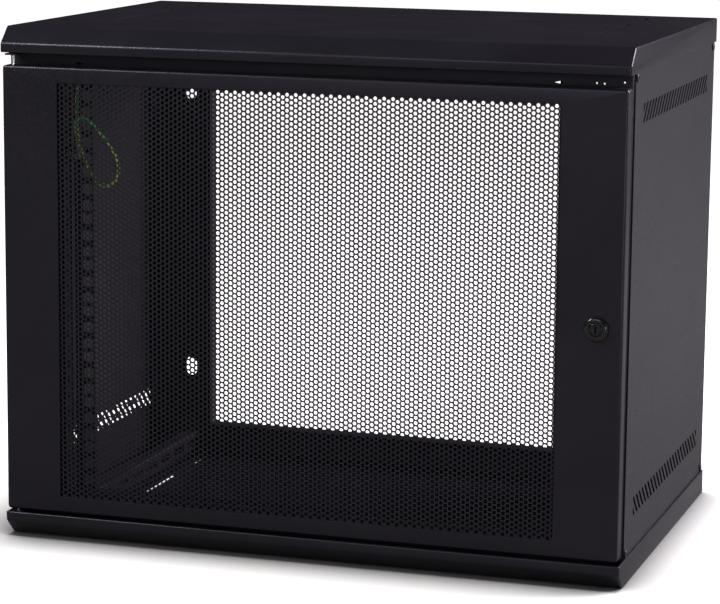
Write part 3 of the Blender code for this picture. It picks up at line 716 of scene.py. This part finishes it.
def cover_shape():
    """The top cover as a pan: outside corners first, then inside corners, left end before right end."""
    lean = atan2(CHAMFER_DEPTH, CHAMFER_HEIGHT)
    left, right = COVER_LOW.x, COVER_HIGH.x
    front, back = COVER_LOW.y, COVER_HIGH.y
    low = COVER_LOW.z
    shoulder = HEIGHT - CHAMFER_HEIGHT
    outside = ((front, low), (front, shoulder), (front + CHAMFER_DEPTH, HEIGHT), (back, HEIGHT), (back, low))
    inside = (
        (front + SHEET, low),
        (front + SHEET, shoulder - SHEET * tan(lean / 2)),
        (front + CHAMFER_DEPTH + SHEET * tan((pi / 2 - lean) / 2), HEIGHT - SHEET),
        (back - SHEET, HEIGHT - SHEET),
        (back - SHEET, low),
    )
    points = [(x, y, z) for x in (left, right) for y, z in outside]
    points += [(x, y, z) for x in (left + SHEET, right - SHEET) for y, z in inside]
    faces = [tuple(range(start, start + 5)) for start in (0, 5, 10, 15)]
    for start in (0, 10):
        faces += [(start + i, start + i + 1, start + i + 6, start + i + 5) for i in range(4)]
    faces += [(0, 4, 14, 10), (5, 9, 19, 15), (0, 5, 15, 10), (4, 9, 19, 14)]
    return points, faces


def knockout_slits(span):
    front, rear = span
    low, high = HEIGHT - 2 * SHEET, HEIGHT + SHEET
    edge = KNOCKOUT_HALF_WIDTH
    slits = []
    for side in (-1, 1):
        x = side * edge - SIDE_SLIT / 2
        slits.append(block((x, front, low), (x + SIDE_SLIT, rear, high)))
        near, far = sorted((side * BRIDGE / 2, side * (edge - SIDE_SLIT / 2 - BRIDGE)))
        for y in (front, rear - SLIT):
            slits.append(block((near, y, low), (far, y + SLIT, high)))
    return slits


def make_cover(name, turn):
    """A cover with rounded bends and a rounded outer rim, and the slits round its knock-outs."""
    made = new_object(name + "_sheet", turn(cover_shape()))
    outer = {edge.index for edge in made.data.edges if max(edge.vertices) < OUTSIDE_CORNERS}
    rim = COVER_LOW.z

    def on_rim(vertex):
        z = vertex.co.z / MM
        return min(abs(z - rim), abs(HEIGHT - z - rim)) < HAIR

    def on_outside(vertex):
        return max(abs(vertex.co.x / MM) - RIGHT, abs(vertex.co.y / MM) - BACK) > -SHEET / 2

    def is_bend(edge):
        return edge.index in outer and not all(on_rim(vertex) for vertex in edge.verts)

    def is_outer_rim(edge):
        return all(on_rim(vertex) and on_outside(vertex) for vertex in edge.verts)

    rounded(made, BEND, 4, is_bend)
    rounded(made, RIM_EDGE, 3, is_outer_rim)
    carve(made, [turn(slit) for span in KNOCKOUTS for slit in knockout_slits(span)])
    piece(made, "root", "cover_paint", name)


# ---- the door


def door_loops():
    """The door's loops from its face, round its flange, to its window."""
    outer = front_box("door_frame")
    face, back = DOOR_LOW.y, DOOR_HIGH.y
    edge = DOOR_EDGE

    def ring(level, inset, rounding):
        return rounded_rectangle("y", level, grown(outer, -inset), DOOR_CORNER - rounding)

    def window(level, grow):
        return rounded_rectangle("y", level, grown(WINDOW, grow), WINDOW_CORNER + grow)

    flange = ((back - edge, 0.0), (back, edge), (back, SHEET - edge), (back - edge, SHEET))
    inner_bend = reversed(bend_steps(DOOR_BEND - SHEET, 3, SHEET))
    opening = ((face + SHEET, edge / 2), (face + SHEET - edge / 2, 0.0), (face + edge, 0.0), (face, edge))
    loops = [ring(face + level, inset, inset) for level, inset in bend_steps(DOOR_BEND, 5)]
    loops += [ring(level, inset, inset) for level, inset in flange]
    loops += [ring(face + level, inset, SHEET) for level, inset in inner_bend]
    return loops + [window(level, grow) for level, grow in opening]


def make_door_frame():
    """The pressed ring: flat face, rounded bends all round, and a flange that runs back."""
    made = new_object("door_frame_sheet", loft(door_loops(), closed=True))
    low, high, face = DOOR_LOW.z, DOOR_HIGH.z, DOOR_LOW.y
    holes = [
        hole("z", HINGE, PIN_HOLE, low - SHEET, low + 2 * SHEET),
        hole("z", HINGE, PIN_HOLE, high - 2 * SHEET, high + SHEET),
        hole("y", LOCK, LOCK_HOLE, face - SHEET, face + 2 * SHEET, 32),
    ]
    carve(made, holes)
    piece(made, "door", "door_paint", "door_frame")


def whole_cell():
    """One perforated cell in its own plane, as points and faces.

    Its rim has a point at each corner and halfway up each side, where the next column's corners are.
    """
    half_u, half_v = COLUMN_PITCH / 2, HOLE_PITCH / 2
    rim = [(half_u, 0), (half_u, half_v), (-half_u, half_v)]
    rim += [(-half_u, 0), (-half_u, -half_v), (half_u, -half_v)]
    ring = arc((0.0, 0.0), HOLE_RADIUS, [(i + 0.5) * 360 / HOLE_SIDES for i in range(HOLE_SIDES)])
    faces = [(0, 1, 6), (1, 7, 6), (1, 2, 8, 7), (2, 9, 8), (2, 3, 9), (3, 10, 9), (3, 4, 10), (4, 11, 10)]
    faces += [(4, 5, 12, 11), (5, 13, 12), (5, 0, 13), (0, 6, 13)]
    return np.array(rim + ring), faces


def half_cell(upper):
    """The plain half cell that squares off the end of every second column."""
    half_u, half_v = COLUMN_PITCH / 2, HOLE_PITCH / 2
    top = half_v if upper else 0.0
    bottom = top - half_v
    return np.array([(half_u, bottom), (half_u, top), (-half_u, top), (-half_u, bottom)]), [(0, 1, 2, 3)]


def lay_cells(first, last, left, low):
    """The points and faces of the columns from first to last, in one plane."""
    points, faces = [], []
    total = 0

    def lay(cell, u, v):
        nonlocal total
        cell_points, cell_faces = cell
        points.append(cell_points + (u, v))
        faces.extend(tuple(total + i for i in face) for face in cell_faces)
        total += len(cell_points)

    whole = whole_cell()
    for column in range(first, last):
        u = left + (column + 0.5) * COLUMN_PITCH
        shift = 0.5 * (column % 2)
        for row in range(ROWS - column % 2):
            lay(whole, u, low + (row + 0.5 + shift) * HOLE_PITCH)
        if shift:
            lay(half_cell(True), u, low)
            lay(half_cell(False), u, low + ROWS * HOLE_PITCH)
    return np.concatenate(points), faces


def strip_shape(points, faces):
    """A closed sheet from flat cells: both faces, and a wall at every edge that only one cell has."""
    _, index, number = np.unique(np.round(points, 3), axis=0, return_index=True, return_inverse=True)
    flat = points[index].tolist()
    number = number.reshape(-1).tolist()
    count = len(flat)
    front = [tuple(number[i] for i in face) for face in faces]
    back = [tuple(i + count for i in reversed(face)) for face in front]
    edges = dict.fromkeys(edge for face in front for edge in zip(face, face[1:] + face[:1]))
    walls = [(b, a, a + count, b + count) for a, b in edges if (b, a) not in edges]
    return [(u, y, v) for y in (SCREEN_LOW.y, SCREEN_HIGH.y) for u, v in flat], front + back + walls


def make_screen():
    """The perforated sheet in upright strips, each a closed mesh, with a plain border round them."""
    half_width, half_height = COLUMNS * COLUMN_PITCH / 2, ROWS * HOLE_PITCH / 2
    u, v = (WINDOW[0] + WINDOW[2]) / 2, (WINDOW[1] + WINDOW[3]) / 2
    field = (u - half_width, v - half_height, u + half_width, v + half_height)
    per_strip = COLUMNS // STRIPS
    for strip in range(STRIPS):
        cells = lay_cells(strip * per_strip, (strip + 1) * per_strip, field[0], field[1])
        made = new_object(f"screen_strip_{strip + 1}", strip_shape(*cells))
        piece(made, "door", "screen_paint", crease=None)
    front, back = SCREEN_LOW.y, SCREEN_HIGH.y
    inner = grown(field, HAIR)
    loops = [rounded_rectangle("y", level, SCREEN, SCREEN_CORNER) for level in (front, back)]
    loops += [rounded_rectangle("y", level, inner, HAIR) for level in (back, front)]
    border = new_object("screen_border", loft(loops, closed=True))
    piece(border, "door", "screen_paint", "door_screen", crease=None)


# ---- the frames, rails and brackets


def make_front_frame():
    low, high = corners("front_frame")
    inner = (-WINDOW_HALF_WIDTH, WINDOW_LEVELS[0], WINDOW_HALF_WIDTH, WINDOW_LEVELS[1])
    ring = pressed_ring(front_box("front_frame"), inner, low.y, 1, FRAME_FLANGES, SHEET)
    made = new_object("front_frame_sheet", ring)
    near, far = low.y - SHEET, low.y + 2 * SHEET
    either_side = [prism(TOP_SLOT, "y", near, far)]
    either_side += [hole("y", place, TOP_HOLE, near, far, 12) for place in TOP_HOLES]
    for z in SCREW_LEVELS:
        either_side.append(hole("x", (SCREW_FRONT_Y, z), SCREW_HOLE, high.x - 2 * SHEET, RIGHT))
    slot = loft([rounded_rectangle("y", level, LOCK_SLOT, LOCK_SLOT_CORNER) for level in (near, far)])
    carve(made, [slot] + [mirrored(shape, side) for shape in either_side for side in (-1, 1)])
    piece(made, "root", "frame_paint", "front_frame")


def make_rear_frame():
    high = corners("rear_frame")[1]
    ring = pressed_ring(front_box("rear_frame"), REAR_WINDOW, high.y, -1, REAR_FLANGES, THIN_SHEET)
    made = new_object("rear_frame_sheet", ring)
    openings = []
    for side in (-1, 1):
        for z in KEYHOLE_LEVELS:
            box = box_round((side * KEYHOLE_X, z), *KEYHOLE)
            openings.append(stadium("y", box, high.y - 3 * SHEET, high.y + SHEET))
        for z in SCREW_LEVELS:
            opening = hole("x", (SCREW_REAR_Y, z), SCREW_HOLE, high.x - 2 * SHEET, RIGHT)
            openings.append(mirrored(opening, side))
    carve(made, openings)
    piece(made, "root", "frame_paint", "rear_frame")


def make_bracket(word, level, side):
    """One of the four slotted channels: the lower right one, or its mirror image."""
    low, high = corners("right_lower_depth_bracket")
    turn = upright if level == "lower" else upside_down
    tray = pressed_tray("x", (low.y, low.z, high.y, high.z), low.x, high.x - low.x)
    made = new_object(f"{word}_{level}_bracket_sheet", turn(mirrored(tray, side)))
    slots = []
    for step in range(BRACKET_SLOTS):
        box = box_round((BRACKET_FIRST + step * BRACKET_PITCH, RAIL_BOLT_Z), *BRACKET_SLOT)
        slots.append(turn(mirrored(stadium("x", box, low.x - SHEET, low.x + 2 * SHEET), side)))
    carve(made, slots)
    piece(made, "root", "frame_paint", f"{word}_{level}_depth_bracket")


def make_rail(word, side):
    """An angle with a rounded bend and a square hole at every equipment hole position."""
    low, high = corners("right_rail")
    outline = angle_outline((high.x, low.y), (low.x, high.y))
    made = new_object(f"{word}_rail_sheet", mirrored(prism(outline, "z", low.z, high.z), side))
    bottom = (low.z + high.z - UNITS * UNIT) / 2
    openings = []
    for unit in range(UNITS):
        for offset in UNIT_HOLES:
            z = bottom + unit * UNIT + offset
            box = box_round((RAIL_HOLE_X, z), RAIL_HOLE, RAIL_HOLE)
            levels = (low.y - SHEET, low.y + 2 * SHEET)
            loops = [rounded_rectangle("y", level, box, RAIL_HOLE_CORNER, 2) for level in levels]
            openings.append(loft(loops))
    for z in (RAIL_BOLT_Z, HEIGHT - RAIL_BOLT_Z):
        openings.append(hole("x", (RAIL_BOLT_Y, z), BOLT_HOLE, high.x - 2 * SHEET, high.x + SHEET))
    carve(made, [mirrored(opening, side) for opening in openings])
    piece(made, f"{word}_rail", "rail_paint", f"{word}_rail")


# ---- screws, bolts and nuts


def thread_steps(radius, start, end, pitch=0.8, depth=0.18):
    """Steps of a threaded shank, as rings one pitch apart."""
    count = max(2, round(abs(end - start) / pitch))
    way = (end - start) / count
    steps = []
    for turn in range(count):
        steps += [(radius - depth, start + way * turn), (radius, start + way * (turn + 0.5))]
    return [*steps, (radius - depth, end)]


def make_panel_screw(word, number, side, place):
    """A domed screw with a hexagon socket."""
    low, high = corners(f"right_panel_screw_{number}")
    seat = RIGHT - SHEET
    head, shank, plain, socket, depth = 4.0, 1.9, 0.6, 1.3, 0.85
    side_share = 0.45
    rise = high.x - seat
    steps = [(HAIR, high.x)]
    for s, c in turn_steps(5)[1:]:
        steps.append((head * s, seat + rise * (side_share + (1 - side_share) * c)))
    steps += [(head, seat), (shank, seat), *thread_steps(shank, seat - plain, low.x)]
    made = new_object(f"{word}_screw_{number}", mirrored(turned("x", place, steps, 28), side))
    carve(made, [mirrored(hole("x", place, socket, high.x - depth, high.x + depth, 6), side)])
    piece(made, "root", "black_screw", f"{word}_panel_screw_{number}")


def make_rail_bolt(word, level, side, z):
    """A socket screw through the rail's web."""
    low, high = corners("right_lower_rail_bolt")
    place = (RAIL_BOLT_Y, z)
    head, head_length, head_edge = 5.0, 3.4, 0.7
    shank, plain, socket, depth = 2.5, 1.0, 2.1, 1.8
    seat = low.x + head_length
    steps = [*round_edge(head, low.x, head_edge), (head, seat), (shank, seat)]
    steps += thread_steps(shank, seat + plain, high.x)
    bolt = new_object(f"{word}_{level}_bolt", mirrored(turned("x", place, steps), side))
    carve(bolt, [mirrored(hole("x", place, socket, low.x - depth, low.x + depth, 6), side)])
    piece(bolt, f"{word}_rail", "zinc", f"{word}_{level}_rail_bolt")


def make_rail_nut(word, level, side, z):
    """The flanged nut inside the bracket."""
    low, high = corners("right_lower_rail_nut")
    corner, bore, flange = 4.5, 2.7, 4.6
    shape = nut_shape("x", (RAIL_BOLT_Y, z), low.x, corner, bore, high.x - low.x, flange)
    nut = new_object(f"{word}_{level}_nut", mirrored(shape, side))
    piece(nut, f"{word}_rail", "zinc", f"{word}_{level}_rail_nut")


def make_nut(name, node, body, axis, place, radius, bore):
    """A nut that fills its node's length along its axis."""
    low, high = (corner[PLACES[axis][2]] for corner in corners(node))
    nut = new_object(name, nut_shape(axis, place, low, radius, bore, high - low))
    piece(nut, body, "zinc", node)


# ---- the hinge


def make_hinge_plate(name, leg_up):
    """An angle that takes the end of a hinge pin."""
    low, high = corners(name)
    level, end = (low.z, high.z) if leg_up else (high.z, low.z)
    outline = angle_outline((high.y, level), (low.y, end))
    made = new_object(name + "_sheet", prism(outline, "x", low.x, high.x))
    carve(made, [hole("z", HINGE, PIN_HOLE, level - 2 * SHEET, level + 2 * SHEET)])
    piece(made, "root", "frame_paint", name)


def make_lower_pin():
    """A fixed pin with rounded ends and a flange inside the door."""
    low, high = corners("lower_hinge_pin")
    seat = DOOR_LOW.z + SHEET + GAP
    flange, edge, end_edge, top = 4.0, 0.3, 0.5, seat + 3.0
    steps = [*round_edge(PIN_RADIUS, low.z, PIN_TIP), (PIN_RADIUS, seat), (flange - edge, seat)]
    steps += [(flange, seat + edge), (flange, top - edge), (flange - edge, top), (PIN_RADIUS, top)]
    steps += reversed(round_edge(PIN_RADIUS, high.z, -end_edge))
    made = new_object("lower_pin", turned("z", HINGE, steps))
    piece(made, "door", "chrome", "lower_hinge_pin")


def across(centre, direction, radius):
    """A circle square to a direction in the XZ plane."""
    lean = Vector((-direction[1], 0.0, direction[0]))
    back = Vector((0.0, 1.0, 0.0))
    spots = arc((0.0, 0.0), radius, [360 * side / PIN_SIDES for side in range(PIN_SIDES)])
    return [tuple(Vector(centre) + u * lean + v * back) for u, v in spots]


def handle_loops(level, end):
    """The upper pin's bend, and its handle out to a rounded end."""
    loops = []
    for s, c in turn_steps(10):
        centre = (HINGE_X + PIN_BEND * (1 - c), HINGE_Y, level + PIN_BEND * (1 - s))
        loops.append(across(centre, (s, -c), PIN_RADIUS))
    for radius, x in reversed(round_edge(PIN_RADIUS, end, -PIN_TIP)):
        loops.append(across((x, HINGE_Y, level), (1.0, 0.0), radius))
    return loops


def make_upper_pin():
    """A sprung pin with a rounded tip, a collar, and a bent handle with a rounded end."""
    low, high = corners("upper_hinge_pin")
    top = DOOR_HIGH.z - SHEET - GAP
    bottom, edge = top - 2.0, 0.3
    steps = [*round_edge(PIN_RADIUS, high.z, -PIN_TIP), (PIN_RADIUS, top), (PIN_COLLAR - edge, top)]
    steps += [(PIN_COLLAR, top - edge), (PIN_COLLAR, bottom + edge), (PIN_COLLAR - edge, bottom)]
    steps.append((PIN_RADIUS, bottom))
    loops = [across((HINGE_X, HINGE_Y, z), (0.0, -1.0), radius) for radius, z in steps]
    made = new_object("upper_pin", loft(loops + handle_loops(low.z + PIN_RADIUS, high.x)))
    piece(made, "hinge_pin", "chrome", "upper_hinge_pin")


def make_pin_spring():
    """The coil between the guide on the door and the collar on the pin."""
    low, high = corners("pin_spring")
    wire = (high.x - low.x) / 2 - COIL_RADIUS
    rise = high.z - low.z - 2 * wire
    section = arc((COIL_RADIUS, low.z + wire), wire, [360 * i / COIL_SIDES for i in range(COIL_SIDES)])
    loops = []
    for step in range(COIL_TURNS * COIL_STEPS + 1):
        turns = step / COIL_STEPS
        share = min(max((turns - COIL_FLAT) / (COIL_TURNS - 2 * COIL_FLAT), 0.0), 1.0)
        u, v = cos(2 * pi * turns), sin(2 * pi * turns)
        loops.append([(HINGE_X + out * u, HINGE_Y + out * v, z + rise * share) for out, z in section])
    made = new_object("pin_coil", loft(loops))
    smooth(made, 50)
    paint(made, "spring_steel")
    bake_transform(made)
    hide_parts("pin_spring")


def make_pin_guide():
    """The angle on the door that steadies the upper pin and carries its spring."""
    low, high = corners("pin_guide")
    outline = angle_outline((low.x, low.z), (high.x, high.z))
    made = new_object("pin_guide_sheet", prism(outline, "y", low.y, high.y))
    carve(made, [hole("z", HINGE, PIN_HOLE, low.z - SHEET, low.z + 2 * SHEET)])
    piece(made, "door", "frame_paint", "pin_guide")


# ---- the lock


def make_lock_body():
    """The moulded dome round the key, and the threaded body behind the door."""
    front, end = LOCK_LOW.y, LOCK_HIGH.y
    rim = LOCK_HIGH.x - LOCK[0]
    bore, bore_edge, bore_depth = 6.15, 0.3, 0.35
    body, plain = 9.0, 3.0
    seat = DOOR_LOW.y - GAP
    steps = [(bore, front + bore_depth), (bore + bore_edge, front)]
    steps += [*round_edge(rim, front, LOCK_DOME, 8), (rim, seat), (body, seat)]
    steps += [*thread_steps(body, seat + plain, end, pitch=1.2, depth=0.3), (bore, end)]
    made = new_object("lock_rim", turned("y", LOCK, steps, 64, closed=True))
    piece(made, "door", "lock_gloss", "lock_body")


def make_lock_barrel():
    """The plug that the key turns, with its keyway, and the stub that drives the cam."""
    low, high = corners("lock_barrel")
    plug, edge, face, recess = 5.9, 0.6, 4.6, 0.3
    stub, stub_length, plain = 3.0, 6.0, 2.6
    key, key_corner, key_depth = box_round(LOCK, 1.8, 7.6), 0.4, 5.0
    shoulder = high.y - stub_length
    steps = [(HAIR, low.y + recess), (face, low.y + recess), (face + recess, low.y)]
    steps += [*round_edge(plug, low.y, edge), (plug, shoulder), (stub, shoulder)]
    steps += thread_steps(stub, shoulder + plain, high.y)
    made = new_object("lock_plug", turned("y", LOCK, steps, ROUND_SIDES))
    levels = (low.y - SHEET, low.y + key_depth)
    carve(made, [loft([rounded_rectangle("y", level, key, key_corner) for level in levels])])
    piece(made, "lock", "lock_steel", "lock_barrel")


def is_sharp(edge):
    return edge.calc_face_angle(0.0) > SHARP_TURN


def make_lock_cam():
    """The tongue behind the lock, from its round eye down to its narrower round end."""
    low, high = corners("lock_cam")
    eye, end, end_height, bore, edge, margin = 7.0, 5.0, 3.0, 3.3, 0.3, 1.0
    outline = arc(LOCK, eye, range(-20, 201, 10))
    for angle in range(180, 361, 15):
        turn = radians(angle)
        outline.append((LOCK[0] + end * cos(turn), low.z + end_height * (1 + sin(turn))))
    made = new_object("lock_tongue", prism(outline, "y", low.y, high.y))
    carve(made, [hole("y", LOCK, bore, low.y - margin, high.y + margin)])
    rounded(made, edge, 2, is_sharp)
    piece(made, "lock", "zinc", "lock_cam")


# ---- the earth terminals

# The radius at each distance from the stud's middle
CRIMPED_BARREL = ((1.75, 4.0), (1.9, 4.9), (1.9, 5.8), (1.72, 6.7), (1.72, 7.6), (1.9, 8.5), (1.9, 10.0))


def stud_place(word):
    low, high = corners(f"{word}_earth_stud")
    return (low.y + high.y) / 2, (low.z + high.z) / 2


def make_earth_stud(word):
    """A stud with a hexagon boss and a threaded end."""
    low, high = corners(f"{word}_earth_stud")
    place = stud_place(word)
    boss, boss_length, boss_edge = 5.0, 8.0, 0.5
    shank, plain = 1.8, 0.4
    end = low.x + boss_length
    boss_steps = ((low.x, boss), (end - boss_edge, boss), (end, flat_reach(boss)))
    shank_steps = [(shank, end), *thread_steps(shank, end + plain, high.x)]
    loops = [hexagon("x", level, place, boss, limit) for level, limit in boss_steps]
    loops += [circle("x", level, place, radius, ROUND_SIDES) for radius, level in shank_steps]
    stud = new_object(f"{word}_stud", loft(loops))
    piece(stud, "root", "zinc", f"{word}_earth_stud")


def make_earth_lug(word, way):
    """A ring terminal with rounded edges, and a crimped barrel that holds the lead's end."""
    face = corners(f"{word}_earth_lug")[0].x
    place = stud_place(word)
    outer, bore, sheet, edge = 4.5, 2.4, 1.0, 0.2
    half = [(bore, 0.0), (outer - edge, 0.0), (outer, edge)]
    steps = half + [(radius, sheet - level) for radius, level in reversed(half)]
    ring = [(radius, face + level) for radius, level in steps]
    made = new_object(f"{word}_lug", turned("x", place, ring, 40, closed=True))
    barrel = [(radius, place[1] + way * level) for radius, level in CRIMPED_BARREL]
    carve(made, [turned("z", LEAD_START[:2], barrel)], "UNION")
    piece(made, "root", "tinned_copper", f"{word}_earth_lug")


# ---- the earth lead

LEAD_RADIUS = 1.7
LEAD_SIDES = 16
LEAD_SPACING = 1.6
STRIPE_TWIST = 0.09
LEAD_START = (-235.4, -170.5, 426.7)
LEAD_ROUTE = (
    LEAD_START,
    (-235.4, -170.3, 422.5),
    (-236.8, -167.6, 412.0),
    (-238.0, -164.6, 399.0),
    (-235.5, -163.9, 378.0),
    (-231.0, -163.8, 363.0),
    (-225.0, -164.0, 350.0),
    (-216.0, -164.4, 340.5),
    (-205.0, -165.0, 339.5),
    (-196.5, -166.0, 348.0),
    (-195.2, -167.2, 361.0),
    (-200.5, -168.4, 374.5),
    (-208.5, -169.4, 385.5),
    (-216.5, -170.0, 394.5),
    (-224.7, -170.2, 401.6),
    (-228.3, -170.3, 403.3),
    (-232.2, -170.3, 402.9),
    (-235.4, -170.3, 400.7),
    (-237.1, -170.3, 397.1),
    (-237.1, -170.4, 393.5),
    (-236.1, -170.5, 387.5),
    (-235.4, -170.5, 382.0),
    (-235.4, -170.5, 378.3),
)


def curve_through(points, steps=20):
    """Close points on the Catmull-Rom curve through a route's own points."""
    route = [Vector(place) for place in points]
    knots = [2 * route[0] - route[1], *route, 2 * route[-1] - route[-2]]
    curve = []
    for before, start, end, after in zip(knots, knots[1:], knots[2:], knots[3:]):
        first = end - before
        second = 2 * before - 5 * start + 4 * end - after
        third = 3 * start - before - 3 * end + after
        for step in range(steps):
            t = step / steps
            curve.append(0.5 * (2 * start + t * first + t * t * second + t * t * t * third))
    return [*curve, route[-1]]


def evenly_spaced(curve, spacing):
    """Evenly spaced places along a curve, and its length."""
    along = np.cumsum([0.0] + [(b - a).length for a, b in zip(curve, curve[1:])])
    marks = np.linspace(0.0, along[-1], round(along[-1] / spacing) + 1)
    even = [np.interp(marks, along, [place[axis] for place in curve]) for axis in range(3)]
    return [Vector(place) for place in zip(*even)], float(along[-1])


def jacket(route):
    """The sheath's loops along a route, and how far into a stripe each of their points is."""
    turns = [2 * pi * corner / LEAD_SIDES for corner in range(LEAD_SIDES)]
    side = Vector((0, 1, 0))
    loops, stripe = [], []
    for index, place in enumerate(route):
        ahead = (route[min(index + 1, len(route) - 1)] - route[max(index - 1, 0)]).normalized()
        side = (side - side.dot(ahead) * ahead).normalized()
        other = ahead.cross(side)
        loops.append([tuple(place + LEAD_RADIUS * (cos(t) * side + sin(t) * other)) for t in turns])
        stripe += [0.5 + 0.5 * sin(2 * t + STRIPE_TWIST * index) for t in turns]
    return loops, stripe


def make_lead():
    """A round sheath with two yellow stripes that wind slowly round it."""
    route, length = evenly_spaced(curve_through(LEAD_ROUTE), LEAD_SPACING)
    loops, stripe = jacket(route)
    made = new_object("earth_lead_sheath", loft(loops))
    attribute = made.data.attributes.new("stripe", "FLOAT", "POINT")
    attribute.data.foreach_set("value", np.array(stripe, np.float32))
    piece(made, "root", "lead_jacket", "earth_lead", crease=50)


# ---- the side panels, which are kept as packed


def finish_panels():
    """Paints the two side panels, and breaks their edges and the edges of their slanted vents."""
    for name in ("left_side_panel", "right_side_panel"):
        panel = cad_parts[name]
        paint(panel, "panel_paint")
        edges = panel.modifiers.new("edges", "BEVEL")
        edges.width = PANEL_EDGE * MM
        edges.segments = 2
        edges.limit_method = "ANGLE"
        edges.angle_limit = radians(40)


finish_panels()
make_camera()
make_studio()
make_cover("top_cover", upright)
make_cover("base_cover", upside_down)
make_front_frame()
make_rear_frame()
make_door_frame()
make_screen()
make_lead()
for word, side in (("left", -1), ("right", 1)):
    make_rail(word, side)
    for level, z in (("lower", RAIL_BOLT_Z), ("upper", HEIGHT - RAIL_BOLT_Z)):
        make_bracket(word, level, side)
        make_rail_bolt(word, level, side, z)
        make_rail_nut(word, level, side, z)
    spots = [(y, z) for y in (SCREW_FRONT_Y, SCREW_REAR_Y) for z in SCREW_LEVELS]
    for number, spot in enumerate(spots, 1):
        make_panel_screw(word, number, side, spot)
make_hinge_plate("upper_hinge_plate", leg_up=True)
make_hinge_plate("lower_hinge_plate", leg_up=False)
make_lower_pin()
make_upper_pin()
make_pin_guide()
make_pin_spring()
make_lock_body()
make_nut("lock_ring_nut", "lock_nut", "door", "y", LOCK, 14.0, LOCK_HOLE)
make_lock_barrel()
make_lock_cam()
make_nut("cam_screw_nut", "cam_nut", "lock", "y", LOCK, 5.6, 3.2)
for word, way in (("upper", -1), ("lower", 1)):
    make_earth_stud(word)
    make_nut(f"{word}_nut", f"{word}_earth_nut", "root", "x", stud_place(word), 3.8, 2.0)
    make_earth_lug(word, way)
